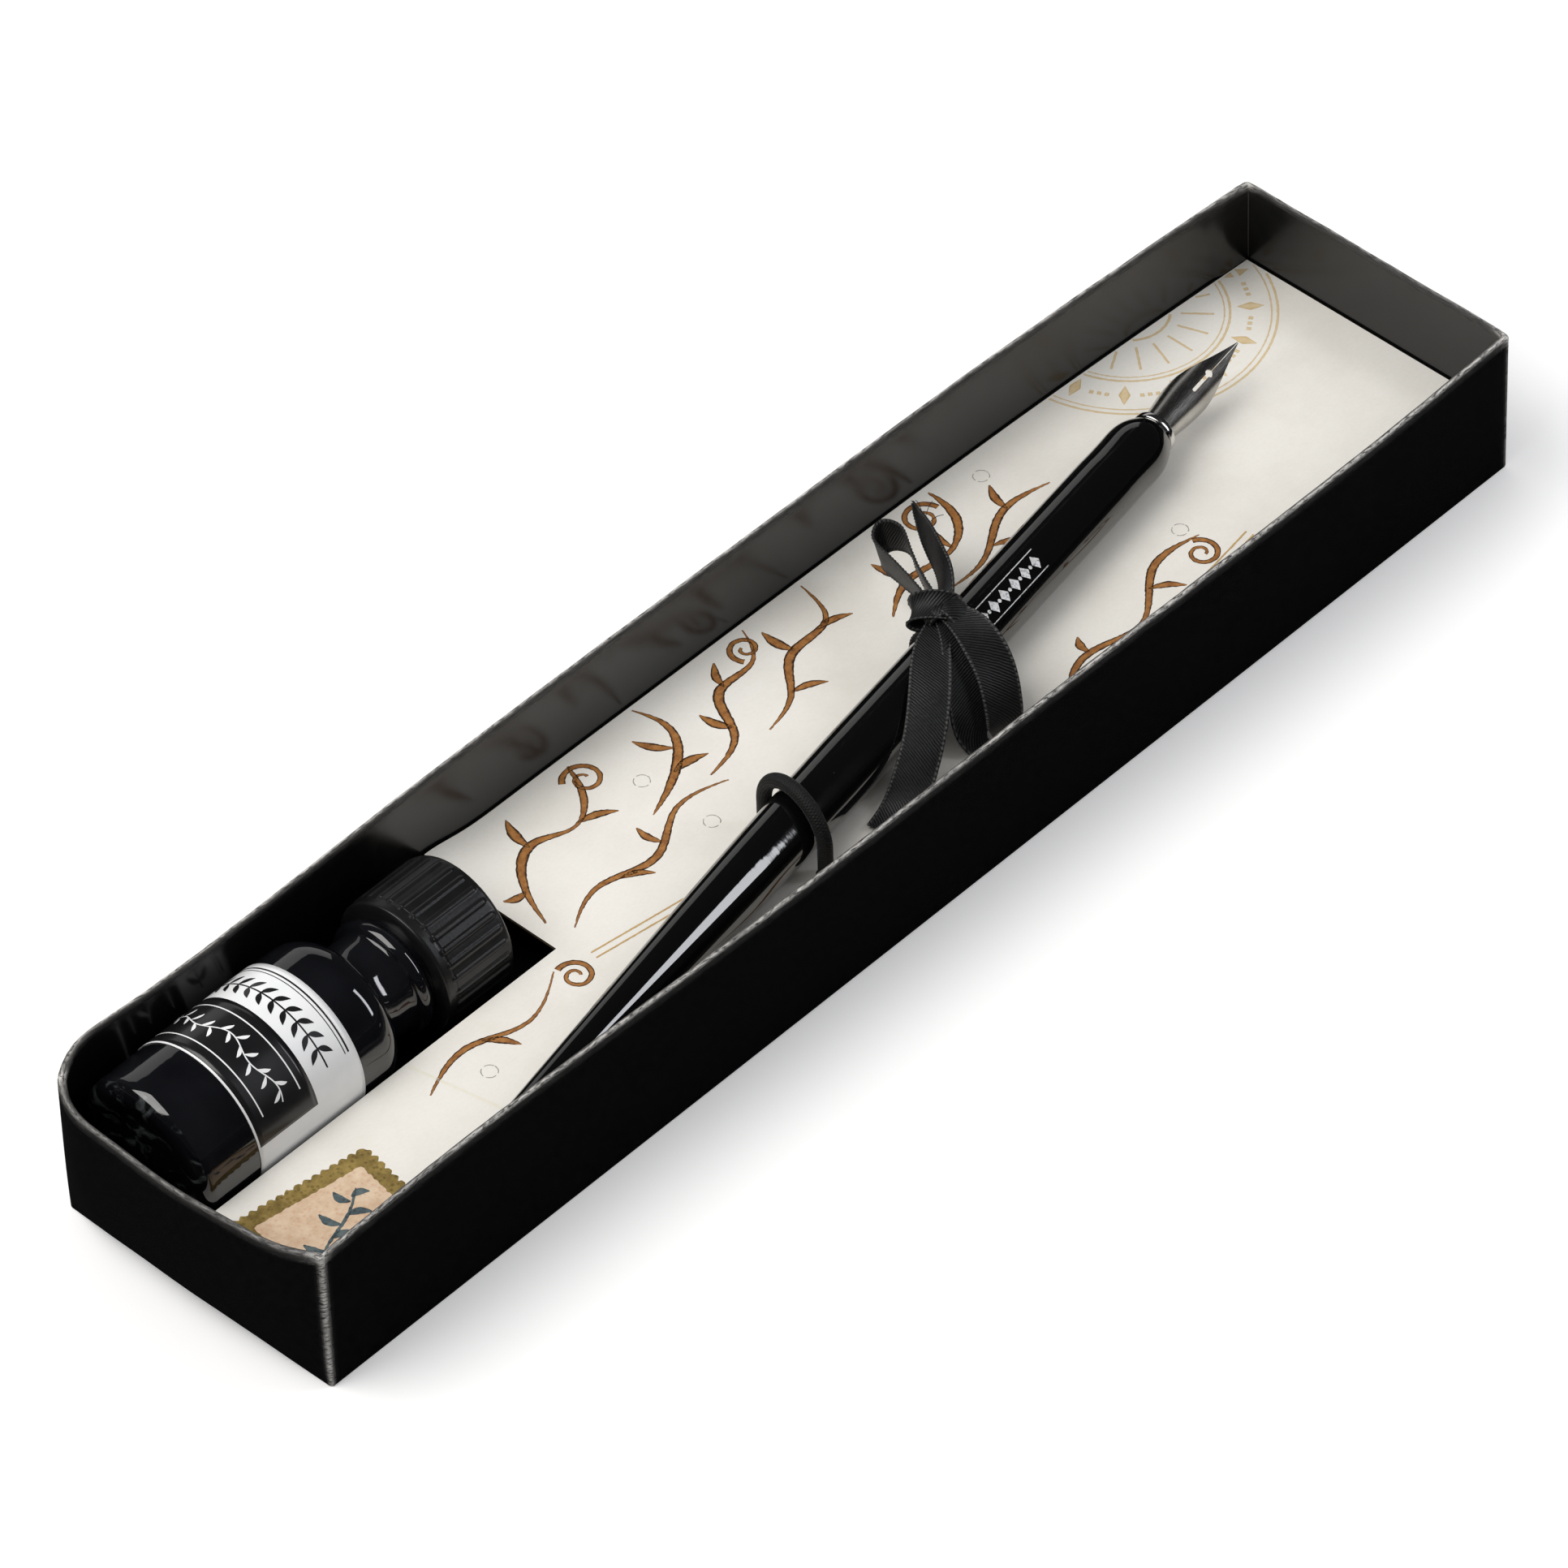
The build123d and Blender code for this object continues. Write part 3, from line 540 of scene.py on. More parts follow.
cap_black = mottled(
    "cap_plastic", (200, 4, (0.005, 0.005, 0.0055), (0.010, 0.010, 0.0105)), (320, 4, 0.28, 0.39, 0.75),
    [(2400, 3, 0.22, 0.00006), (150, 2, 0.06, 0.0004)], Specular_IOR_Level=0.45,
)
braid = braid_material()
foil = foil_material()
satin = satin_material()


def dressed(obj, material, body, slot_name, *nodes):
    """Gives a piece its material and its body, and hides the CAD nodes it stands for. slot_name is not used.
    """
    obj.data.materials.clear()
    obj.data.materials.append(material)
    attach(obj, body)
    if nodes:
        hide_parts(*nodes)


# ------------------------------------------------------------------ places
tray_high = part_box("tray")[1]
HALF_X = tray_high.x
HALF_Y = 25.0 * MM
RIM_Z = tray_high.z
WALL = 0.9 * MM
FLOOR = 0.6 * MM
FOLD = 0.6 * MM

# how far each wall bows out along its length, in millimetres
rear_bow = spline([
    (-1.0, 0.0), (-0.96, 2.5), (-0.9, 2.95), (-0.5, 3.0), (0.0, 3.1), (0.4, 2.7), (0.7, 1.8), (1.0, 0.0),
])
left_bow = spline([(-1.0, 0.0), (-0.88, 1.7), (-0.5, 3.7), (0.0, 4.6), (0.5, 4.1), (0.88, 2.2), (1.0, 0.0)])
front_bow = spline([(-1.0, 0.0), (-0.8, -0.5), (-0.35, 0.5), (0.3, 0.75), (0.8, 0.8), (1.0, 0.0)])


def bulge(z):
    """Share of the rim's bow that the walls have at a height."""
    return 1 - (1 - min(max(z / RIM_Z, 0), 1)) ** 4.6


long_places = np.unique(np.r_[np.linspace(-1, 1, 141), 0.985, 0.992, 0.997, -0.985, -0.992, -0.997])
short_places = np.unique(np.r_[np.linspace(-1, 1, 41), 0.975, 0.99, -0.975, -0.99])
corner_turns = np.radians([15, 30, 45, 60, 75])


def tray_outline(share, inset):
    """The tray's outline, from the front side round to the left one, as rows of (x, y)."""
    x1, y1 = HALF_X - inset, HALF_Y - inset
    r = max(FOLD - inset, 0.12 * MM)
    ax, ay = x1 - r, y1 - r
    parts = []
    sides = [
        np.c_[ax * long_places, np.full(len(long_places), -y1)],
        np.c_[np.full(len(short_places), x1), ay * short_places],
        np.c_[-ax * long_places, np.full(len(long_places), y1)],
        np.c_[np.full(len(short_places), -x1), -ay * short_places],
    ]
    centres = [(ax, -ay, -90), (ax, ay, 0), (-ax, ay, 90), (-ax, -ay, 180)]
    for side, (cx, cy, start) in zip(sides, centres):
        parts.append(side)
        turn = np.radians(start) + corner_turns
        parts.append(np.c_[cx + r * np.cos(turn), cy + r * np.sin(turn)])
    p = np.vstack(parts)
    lengthwise = np.clip(p[:, 0] / x1, -1, 1)
    crosswise = np.clip(p[:, 1] / y1, -1, 1)
    out = p.copy()
    rear = p[:, 1] > ay - 1e-9
    front = p[:, 1] < -ay + 1e-9
    left = p[:, 0] < -ax + 1e-9
    out[rear, 1] += share * MM * rear_bow(lengthwise[rear])
    out[front, 1] -= share * MM * front_bow(lengthwise[front])
    out[left, 0] -= share * MM * left_bow(crosswise[left])
    return out


# ------------------------------------------------------------------ tray
def tray_shell():
    """Folded board: up the outside, over the rolled rim, down the inside and across the floor."""
    lip = WALL / 2
    rows = [(0.0, 0.22 * MM), (0.07 * MM, 0.06 * MM), (0.25 * MM, 0.0)]
    rows += [(z, 0.0) for z in np.linspace(0.9 * MM, RIM_Z - lip, 18)]
    top = len(rows)
    rolled = np.radians(np.arange(15, 181, 15))
    rows += [(RIM_Z - lip + lip * math.sin(a), lip - lip * math.cos(a)) for a in rolled]
    rows += [(z, WALL) for z in np.linspace(RIM_Z - lip - 0.6 * MM, FLOOR + 0.3 * MM, 18)]
    rows += [(FLOOR + 0.1 * MM, WALL + 0.06 * MM), (FLOOR, WALL + 0.25 * MM)]
    base = tray_outline(1.0, 0.0)
    count = len(base)
    walk = np.r_[0, np.cumsum(np.linalg.norm(np.diff(base, axis=0), axis=1))]
    round_trip = walk[-1] + np.linalg.norm(base[0] - base[-1])
    corners = []
    for cx in (-HALF_X, HALF_X):
        for cy in (-HALF_Y, HALF_Y):
            corners.append(walk[np.argmin((base[:, 0] - cx) ** 2 + (base[:, 1] - cy) ** 2)])
    gap = np.min([np.minimum(abs(walk - c), round_trip - abs(walk - c)) for c in corners], axis=0)
    verts, uv, fold, crease = [], [], [], []
    run = 0.0
    for i, (z, inset) in enumerate(rows):
        if i:
            run += math.hypot(z - rows[i - 1][0], inset - rows[i - 1][1])
        line = tray_outline(bulge(z), inset)
        lift = min(max((z - RIM_Z + 3 * MM) / (3 * MM), 0), 1)
        inside = i >= top + 6
        for j, (x, y) in enumerate(line):
            s = walk[j]
            # the rim waves a little, and is dented at the corners
            slow, quick = wobble((s, 0, 0), 9 * MM, 3.1), wobble((s, 0, 0), 2.2 * MM, 7.7)
            dz = lift * MM * (0.10 * slow + 0.05 * quick)
            dz -= lift * 0.22 * MM * near(gap[j], 1.2 * MM)
            push = lift * 0.07 * MM * wobble((s, 0, inset * 400), 2.6 * MM, 5.3) if inside else 0.0
            # the glued flap beside the far corner stands one ply proud
            flap = 0.0
            if inside and y > HALF_Y - 2 * MM:
                flap = 0.5 + 0.5 * math.tanh((x - HALF_X + 7.5 * MM) / (0.12 * MM))
            dy = -0.28 * MM * flap * min(1, max(0, (z - FLOOR) / (1 * MM)))
            side = -1 if y > 0 else 1
            verts.append((x, y + dy + side * push, z + dz))
            uv.append((s, run))
            # fold marks the pale band: rubbed wear on the folds, and a painted highlight along the rim
            near_top = near(RIM_Z - z, 0.62 * MM)
            upright = near(gap[j], 0.45 * MM) if not inside else 0.0
            fold.append(min(1, near_top * 1.1 + 0.8 * upright))
            cracked = near(inset - 0.32 * MM, 0.24 * MM) if z > RIM_Z - 0.45 * MM else 0.0
            # the short walls' rims are less worn than the long ones'
            share = 0.35 if x < -HALF_X + 3 * MM else (0.55 if x > HALF_X - 1.5 * MM else 1.0)
            at_corner = near_top * near(gap[j], 1.6 * MM)
            crease.append(min(1, share * cracked + 0.75 * upright + 0.9 * at_corner))
    faces = grid(len(rows), count, close_cols=True)
    faces.append(tuple(range(count))[::-1])
    faces.append(tuple(range(len(verts) - count, len(verts))))
    obj = make("tray_shell", verts, faces, uv, {"fold": fold, "crease": crease})
    for f in list(obj.data.polygons)[-2:]:
        f.use_smooth = False
    low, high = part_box("tray")
    for v in obj.data.vertices:
        for k in (0, 1):
            v.co[k] = min(max(v.co[k], low[k]), high[k])
    return obj


dressed(tray_shell(), board, "tray", "tray_board", "tray")

# ------------------------------------------------------------------ card platform
card_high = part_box("insert_card")[1]
CARD_TOP = card_high.z
CARD = 0.5 * MM
BAY_X = -48.6 * MM
BAY_Y = 1.6 * MM
CARD_END = card_high.x
CARD_INSET = WALL + 0.35 * MM

joint = {j["name"]: j for j in frame["joints"]}
pen_dir = unit(joint["pen_slide"]["axis"])
up = np.array([0.0, 0.0, 1.0])
pen_side = np.cross(up, pen_dir)
PEN_Z = 16.25
CARD_UNDER = 10.8
GRIP_R = 4.85
ring = np.array([79.0, 5.9, PEN_Z]) * MM

elastic_centre = ring - pen_dir * 93.0 * MM
skew = math.radians(17.0)
elastic_across = pen_side * math.cos(skew) + pen_dir * math.sin(skew)
elastic_run = pen_dir * math.cos(skew) - pen_side * math.sin(skew)
ELASTIC_R = 6.59 * MM
ribbon_centre = ring - pen_dir * 53.5 * MM
knot = ribbon_centre + pen_side * 1.5 * MM + up * 6.94 * MM


def card_rise(x, y):
    """How far the platform lifts from flat: a curled corner by the bay and a slow wave."""
    curl = 1.5 * math.exp(-(math.hypot(x - BAY_X, (y - 27 * MM) * 0.9) / (6.5 * MM)) ** 2)
    wave = 0.07 * wobble((x, y, 0), 40 * MM, 2.0)
    return MM * (curl + wave)


def card_rear(x):
    share = bulge(CARD_TOP)
    return HALF_Y - CARD_INSET + share * MM * rear_bow(np.clip(x / (HALF_X - CARD_INSET), -1, 1))


def card_front(x):
    share = bulge(CARD_TOP)
    bow = front_bow(np.clip(x / (HALF_X - CARD_INSET), -1, 1))
    return -(HALF_Y - CARD_INSET) - np.where(bow < 0, 1.0, share) * MM * bow


def on_card(x, y, margin=0.0):
    """Whether a point lies on the platform, at least margin from its outer edges and the bay."""
    if abs(x) > CARD_END - margin or y < card_front(x)[0] + margin:
        return False
    if x < BAY_X + margin:
        return y < BAY_Y - margin
    return y < card_rear(x)[0] - margin


def slot_points(centre, along, across, half_length, half_width):
    out = []
    for a, b in ((-1, -1), (1, -1), (1, 1), (-1, 1)):
        q = centre + along * a * half_length + across * b * half_width
        out.append((q[0], q[1]))
    return out


def card_platform():
    xs = np.linspace(-CARD_END, CARD_END, 160)
    outline = [(x, float(card_front(x)[0])) for x in xs]
    outline += [(x, float(card_rear(x)[0])) for x in np.linspace(CARD_END, BAY_X, 110)]
    outline += [(BAY_X, y) for y in np.linspace(card_rear(BAY_X)[0], BAY_Y, 24)[1:]]
    outline += [(x, BAY_Y) for x in np.linspace(BAY_X, -CARD_END, 60)[1:]]
    outline += [(-CARD_END, y) for y in np.linspace(BAY_Y, card_front(-CARD_END)[0], 20)[1:-1]]
    holes = []
    for side in (-1, 1):
        c = elastic_centre + elastic_across * side * ELASTIC_R
        holes.append(arc(c[0], c[1], 1.4 * MM, 1.4 * MM, 0, 342, 20))
        c = ribbon_centre + pen_side * side * 5.4 * MM
        holes.append(slot_points(c, pen_dir, pen_side, 2.65 * MM, 0.55 * MM))
    points, edges = [], []
    for loop in [outline] + holes:
        first = len(points)
        points.extend(loop)
        edges.extend((first + i, first + (i + 1) % len(loop)) for i in range(len(loop)))
    step = 2.0 * MM
    inner = []
    for x in np.arange(-CARD_END + step / 2, CARD_END, step):
        for y in np.arange(-27 * MM, 29 * MM, step):
            if on_card(x, y, 0.8 * MM):
                inner.append((x, y))
    for x in np.arange(BAY_X + 0.6 * MM, BAY_X + 11 * MM, 0.7 * MM):
        for y in np.arange(14 * MM, 27.5 * MM, 0.7 * MM):
            if on_card(x, y, 0.45 * MM):
                inner.append((x, y))
    points.extend(inner)
    flat, _, faces, *_ = geometry.delaunay_2d_cdt([Vector(p) for p in points], edges, [], 0, 1e-7)
    flat = np.array([(v.x, v.y) for v in flat])

    def within(p, loop):
        x, y = p
        hit = False
        for (x0, y0), (x1, y1) in zip(loop, loop[1:] + loop[:1]):
            if (y0 > y) != (y1 > y) and x < (x1 - x0) * (y - y0) / (y1 - y0) + x0:
                hit = not hit
        return hit

    kept = []
    for f in faces:
        c = flat[list(f)].mean(0)
        if within(c, outline) and not any(within(c, hole) for hole in holes):
            a, b, d = flat[list(f)]
            turn = (b[0] - a[0]) * (d[1] - a[1]) - (b[1] - a[1]) * (d[0] - a[0])
            kept.append(tuple(f) if turn > 0 else tuple(f)[::-1])
    n = len(flat)
    verts = [(x, y, CARD_TOP + card_rise(x, y)) for x, y in flat]
    verts += [(x, y, z - CARD) for x, y, z in verts]
    used = {}
    for f in kept:
        for a, b in zip(f, f[1:] + f[:1]):
            used[(a, b)] = used.get((a, b), 0) + 1
    all_faces = kept + [tuple(n + i for i in f[::-1]) for f in kept]
    # the cut edges have points of their own, so that they stay sharp and take their own colour, a dark brown
    # of painted shade
    edge = [0.0] * len(verts)
    for a, b in list(used):
        if (b, a) not in used:
            first = len(verts)
            verts += [verts[a], verts[b], verts[n + b], verts[n + a]]
            edge += [1.0] * 4
            all_faces.append((first + 3, first + 2, first + 1, first))
    return make("card_platform", verts, all_faces, None, {"edge": edge}, smooth=False)


def card_leg(line, name):
    """A folded leg: a wall of card under a line of (x, y) places, outer face first."""
    tall = np.linspace(CARD_TOP - 0.35 * MM, FLOOR + 0.02 * MM, 9)
    verts = []
    for side in (0, 1):
        for z in tall if side == 0 else tall[::-1]:
            verts.extend((x, y, z) for x, y in line(z, CARD_INSET + side * CARD))
    count = len(line(tall[0], CARD_INSET))
    faces = grid(2 * len(tall), count, close_rows=True)
    return make(name, verts, faces, None, {"edge": [0.0] * len(verts)})


def card_side(side):
    """Places along one side of the platform, as a function of height and inset."""
    end = HALF_Y - CARD_INSET - CARD

    def line(z, inset):
        share = bulge(z)
        if side == "front":
            xs = np.linspace(-CARD_END, CARD_END, 100)
            bow = front_bow(np.clip(xs / (HALF_X - inset), -1, 1))
            return [(x, -(HALF_Y - inset) - (1.0 if b < 0 else share) * MM * b) for x, b in zip(xs, bow)]
        if side == "rear":
            xs = np.linspace(CARD_END, BAY_X + 3 * MM, 90)
            bow = rear_bow(np.clip(xs / (HALF_X - inset), -1, 1))
            return [(x, HALF_Y - inset + share * MM * b) for x, b in zip(xs, bow)]
        if side == "right":
            return [(HALF_X - inset, y) for y in np.linspace(-end, end, 30)]
        return [(-CARD_END + inset - CARD_INSET, y) for y in np.linspace(BAY_Y - 3 * MM, -end, 16)]
    return line


legs = [card_leg(card_side(s), s) for s in ("front", "rear", "right", "left")]
platform = joined("card_platform", [card_platform()] + legs)
dressed(platform, card_paper, "insert", "printed_card", "insert_card")

# ------------------------------------------------------------------ print on the card
INK_LIFT = 0.012 * MM


class Print:
    """Flat printed shapes, gathered into one mesh for each ink."""

    def __init__(self):
        self.verts, self.faces, self.uv = [], [], []

    def strip(self, line, widths, ragged=0.10):
        """A printed stroke. line is rows of (x, y), widths is its width at each."""
        line = np.asarray(line, float)
        widths = np.broadcast_to(np.asarray(widths, float), len(line)).copy()
        ahead = np.gradient(line, axis=0)
        ahead /= np.maximum(np.linalg.norm(ahead, axis=1), 1e-9)[:, None]
        aside = np.c_[-ahead[:, 1], ahead[:, 0]]
        previous = None
        run = 0.0
        for i, (p, w, a) in enumerate(zip(line, widths, aside)):
            if i:
                run += float(np.linalg.norm(p - line[i - 1]))
            row = []
            for v in (0.0, 0.25, 0.5, 0.75, 1.0):
                rag = ragged * MM * wobble((p[0] + v, p[1], 0), 0.55 * MM, 4.0) if v in (0.0, 1.0) else 0.0
                q = p + a * ((v - 0.5) * w + (rag if v else -rag))
                row.append(q)
            if all(on_card(float(q[0]), float(q[1]), 0.15 * MM) for q in row):
                first = len(self.verts)
                for q, v in zip(row, (0.0, 0.25, 0.5, 0.75, 1.0)):
                    z = CARD_TOP + card_rise(q[0], q[1]) + INK_LIFT
                    self.verts.append((q[0], q[1], z))
                    self.uv.append((run, v))
                if previous is not None:
                    for k in range(4):
                        self.faces.append((first + k + 1, first + k, previous + k, previous + k + 1))
                previous = first
            else:
                previous = None

    def area(self, outline, lift=0.0):
        """A filled outline, fanned from its middle."""
        outline = np.asarray(outline, float)
        c = outline.mean(0)
        first = len(self.verts)
        for q in [c] + list(outline):
            self.verts.append((q[0], q[1], CARD_TOP + card_rise(q[0], q[1]) + INK_LIFT + lift))
            self.uv.append((q[0], q[1]))
        n = len(outline)
        for i in range(n):
            self.faces.append((first, first + 1 + i, first + 1 + (i + 1) % n))

    def object(self, name, material):
        obj = make(name, self.verts, self.faces, self.uv, smooth=False)
        dressed(obj, material, "insert", "printed_card")


def straight(a, b, count):
    """Places in metres along a straight line between two in millimetres."""
    t = np.linspace(0, 1, count)[:, None]
    return ((1 - t) * np.array([a]) + t * np.array([b])) * MM


def swash(ink, points, widths, step=0.28):
    """A pen stroke through points in millimetres, swelling through widths in millimetres."""
    p = np.array(points, float) * MM
    length = np.linalg.norm(np.diff(p, axis=0), axis=1).sum()
    line, w = through(p, int(length / (step * MM)) + 4, np.array(widths, float) * MM)
    ink.strip(line, np.maximum(w, 0.22 * MM))


def leaf(ink, x, y, angle, length, width):
    """A pointed leaf with a swelling belly."""
    a = math.radians(angle)
    d = np.array([math.cos(a), math.sin(a)])
    belly = (x + d[0] * length * 0.45 - d[1] * 0.5, y + d[1] * length * 0.45 + d[0] * 0.5)
    swash(ink, [(x, y), belly, (x + d[0] * length, y + d[1] * length)], [0.25, width, 0.2])


def curl(ink, x, y, radius, start, turns, width, hand=1):
    """A spiral that winds in from a radius."""
    n = int(40 * abs(turns)) + 8
    t = np.linspace(0, 1, n)
    a = math.radians(start) + hand * t * turns * 2 * math.pi
    r = radius * (1 - 0.78 * t)
    line = np.c_[x + r * np.cos(a), y + r * np.sin(a)] * MM
    ink.strip(line, MM * width * (1 - 0.6 * t) + 0.1 * MM)


brown = Print()
# long sweeping stems that swell and thin, with leaves and curls off them
for points, widths in (
    ([(-46, 6), (-43, 13), (-36, 18), (-30, 16), (-25, 19), (-22, 25)], [0.4, 1.5, 1.9, 0.8, 1.5, 0.4]),
    ([(-44, 2.5), (-36, 5.5), (-27, 3.5), (-18, 8), (-9, 6.5)], [0.3, 1.2, 1.7, 1.1, 0.3]),
    ([(-21, 9.5), (-13, 13), (-7, 20), (-8, 26)], [0.3, 1.9, 1.4, 0.3]),
    ([(-10, 9), (-2, 12), (3, 19.5), (10, 20), (14, 25.5)], [0.4, 1.6, 2.0, 1.0, 0.3]),
    ([(2, 9), (9, 11.5), (15, 17), (23, 18), (26, 25.5)], [0.3, 1.3, 2.0, 1.3, 0.3]),
    ([(30, 11.5), (37, 15), (45, 14.5), (51, 19), (52, 25)], [0.3, 1.7, 1.1, 1.9, 0.4]),
    ([(39, 9.5), (47, 9.8), (56, 14.5), (65, 13.5)], [0.3, 1.1, 1.6, 0.3]),
    ([(33, -19), (42, -14), (52, -15.5), (62, -9), (71, -9.5)], [0.3, 1.6, 1.0, 1.7, 0.3]),
    ([(-34, -20.5), (-25, -17.2), (-15, -19.8), (-6, -17.5)], [0.3, 1.2, 1.6, 0.3]),
    ([(-80, -5), (-70, -2.5), (-62, -5.2), (-52, -1.2)], [0.3, 1.4, 0.9, 0.3]),
):
    swash(brown, points, [0.78 * w for w in widths])
for x, y, angle, length, width in (
    (-43.5, 12.3, 165, 3.6, 1.7), (-37, 17.8, 75, 6.5, 2.0), (-29, 16.2, -25, 6.0, 1.7),
    (-33, 4.4, -35, 5.0, 1.5), (-24, 5, 95, 4.5, 1.6), (-13, 13.2, -10, 6.0, 1.9),
    (-9.5, 16.5, 120, 6.0, 1.8), (-1, 13, 105, 5.5, 1.9), (4, 19.6, 60, 5.0, 1.6),
    (9.5, 11.8, -25, 5.5, 1.6), (16, 17.2, 95, 6.0, 2.0), (21, 17.8, -15, 6.0, 1.6),
    (38, 15, 110, 6.5, 2.0), (46, 14.8, 80, 5.5, 1.6), (50, 10.8, -35, 5.0, 1.4),
    (57, 14.4, 70, 5.5, 1.7), (43, -13.9, 70, 3.5, 1.6), (50, -15.4, -60, 4.5, 1.6),
    (58, -11.5, -40, 5.5, 1.5), (-68, -3.0, -55, 5.5, 1.6),
):
    leaf(brown, x, y, angle, length, 0.85 * width)
for x, y, radius, start, turns, hand in (
    (-22.3, 21.5, 3.2, 150, 1.4, -1), (11.5, 22.6, 2.6, 220, 1.3, -1), (47.5, 22.0, 3.2, 0, 1.4, 1),
    (68.5, -12.2, 2.8, 70, 1.4, -1), (-50.5, -4.0, 2.8, 110, 1.4, -1),
):
    curl(brown, x, y, radius, start, turns, 0.9, hand)
brown.object("print_stems", brown_ink)

ochre = Print()
for x0, y0, x1, y1 in (
    (-46, -2.5, -22, -6.0), (-46.2, -3.7, -22.2, -7.2), (52, -17.5, 76, -14.0), (52.2, -18.7, 76.2, -15.2),
):
    ochre.strip(straight((x0, y0), (x1, y1), 110), 0.28 * MM, ragged=0.05)
ochre.object("print_rules", ochre_ink)

pale = Print()
# ring ornament at the far end: two rings, with lozenges and dots between them
cx, cy = 99.0, 29.0
for radius, width in ((21.5, 0.35), (20.6, 0.22), (14.6, 0.35), (13.8, 0.2), (6.0, 0.4)):
    t = np.radians(np.linspace(150, 370, 420))
    pale.strip(np.c_[cx + radius * np.cos(t), cy + radius * np.sin(t)] * MM, width * MM, ragged=0.06)
for i, a in enumerate(np.radians(np.arange(184, 352, 12))):
    c = np.array([cx + 17.6 * math.cos(a), cy + 17.6 * math.sin(a)])
    d = np.array([math.cos(a), math.sin(a)])
    e = np.array([-d[1], d[0]])
    if i % 2:
        t = np.linspace(-1, 1, 16)[:, None]
        w = (1 - np.abs(t[:, 0])) * 1.7 * MM + 0.05 * MM
        pale.strip((c + t * d * 2.0) * MM, w, ragged=0.05)
    else:
        for k in (-1, 0, 1):
            q = c + e * 1.15 * k
            t = np.linspace(-0.35, 0.35, 6)[:, None]
            pale.strip((q + t * d) * MM, 0.6 * MM, ragged=0.05)
for a in np.radians(np.arange(190, 352, 20)):
    t = np.linspace(7.5, 12.3, 30)[:, None]
    d = np.array([[math.cos(a), math.sin(a)]])
    pale.strip((np.array([[cx, cy]]) + t * d) * MM, 0.35 * MM, ragged=0.06)
pale.object("print_ring", pale_ink)

# faint darker line along a crease across the card by the bay's corner: painted shade of the crease
crease_shade = Print()
crease_shade.strip(straight((-78.0, 1.0), (-73.5, -23.0), 90), 0.5 * MM, ragged=0.12)
crease_shade_ink = stroke_material("painted_crease_shade", (0.80, 0.765, 0.66), (0.78, 0.745, 0.62), (0.82, 0.79, 0.70))
crease_shade.object("card_painted_crease_shade", crease_shade_ink)

# spare holes, half punched, their cut rings painted dark as painted shade in the cuts
punched = Print()
for x, y in ((59.5, 21.7), (70.0, -6.8), (-17.2, 15.3), (-16.5, 2.6), (-71.4, -7.8)):
    for start in (12, 108, 200, 295):
        t = np.radians(np.linspace(start, start + 72, 26))
        punched.strip(np.c_[x + 1.2 * np.cos(t), y + 1.2 * np.sin(t)] * MM, 0.13 * MM, ragged=0.04)
punched.object("card_half_punched_holes", cut_shade_ink)

# printed patch at the left end: a wavy gold frame round a peach field with a sprig
patch_c = np.array([-105.5, -12.5])
patch_a = math.radians(-9)
px = np.array([math.cos(patch_a), math.sin(patch_a)])
py = np.array([-px[1], px[0]])


def patch_outline(half_x, half_y, scallop, count):
    """A rectangle whose sides are scalloped."""
    out = []
    corners = [(-half_x, -half_y), (half_x, -half_y), (half_x, half_y), (-half_x, half_y)]
    for (x0, y0), (x1, y1) in zip(corners, corners[1:] + corners[:1]):
        side = math.hypot(x1 - x0, y1 - y0)
        n = int(count * side)
        along = unit((x1 - x0, y1 - y0))
        outward = np.array([along[1], -along[0]])
        for i in range(n):
            f = i / n
            bump = scallop * abs(math.sin(math.pi * f * round(side / 1.5)))
            x = x0 + (x1 - x0) * f + outward[0] * bump
            y = y0 + (y1 - y0) * f + outward[1] * bump
            rag = 0.16 * wobble((x * MM, y * MM, 0), 0.6 * MM, 9.0)
            q = patch_c + px * (x + rag) + py * (y + rag)
            out.append(q * MM)
    return out


frame_print = Print()
frame_print.area(patch_outline(11.2, 9.0, 0.55, 9))
frame_print.object("patch_frame", gold)
field = Print()
field.area(patch_outline(8.9, 6.7, 0.12, 5), 0.006 * MM)
field.object("patch_field", peach)
sprig = Print()
INK_LIFT += 0.012 * MM


def patch_place(x, y):
    return tuple(patch_c + px * x + py * y)


sprig_stem = [patch_place(x, y) for x, y in ((-6, -4), (-2, -1.5), (2, 0.5), (6, 4))]
swash(sprig, sprig_stem, [0.25, 0.5, 0.5, 0.25], 0.2)
for x, y, angle, length in (
    (-4, -2.8, 120, 3.2), (-2, -1.5, -20, 3.4), (0.5, -0.2, 110, 3.6),
    (2.2, 0.7, -30, 3.4), (4, 2.4, 105, 3.0), (4.6, 3.0, -15, 2.6),
):
    leaf(sprig, *patch_place(x, y), angle - 9, length, 1.3)
sprig.object("patch_sprig", teal_ink)

# ------------------------------------------------------------------ pen
def pen_point(forward, rearward, height):
    """A place in pen terms, from the knot's centre, in millimetres."""
    return knot + (pen_dir * forward + pen_side * rearward + up * height) * MM


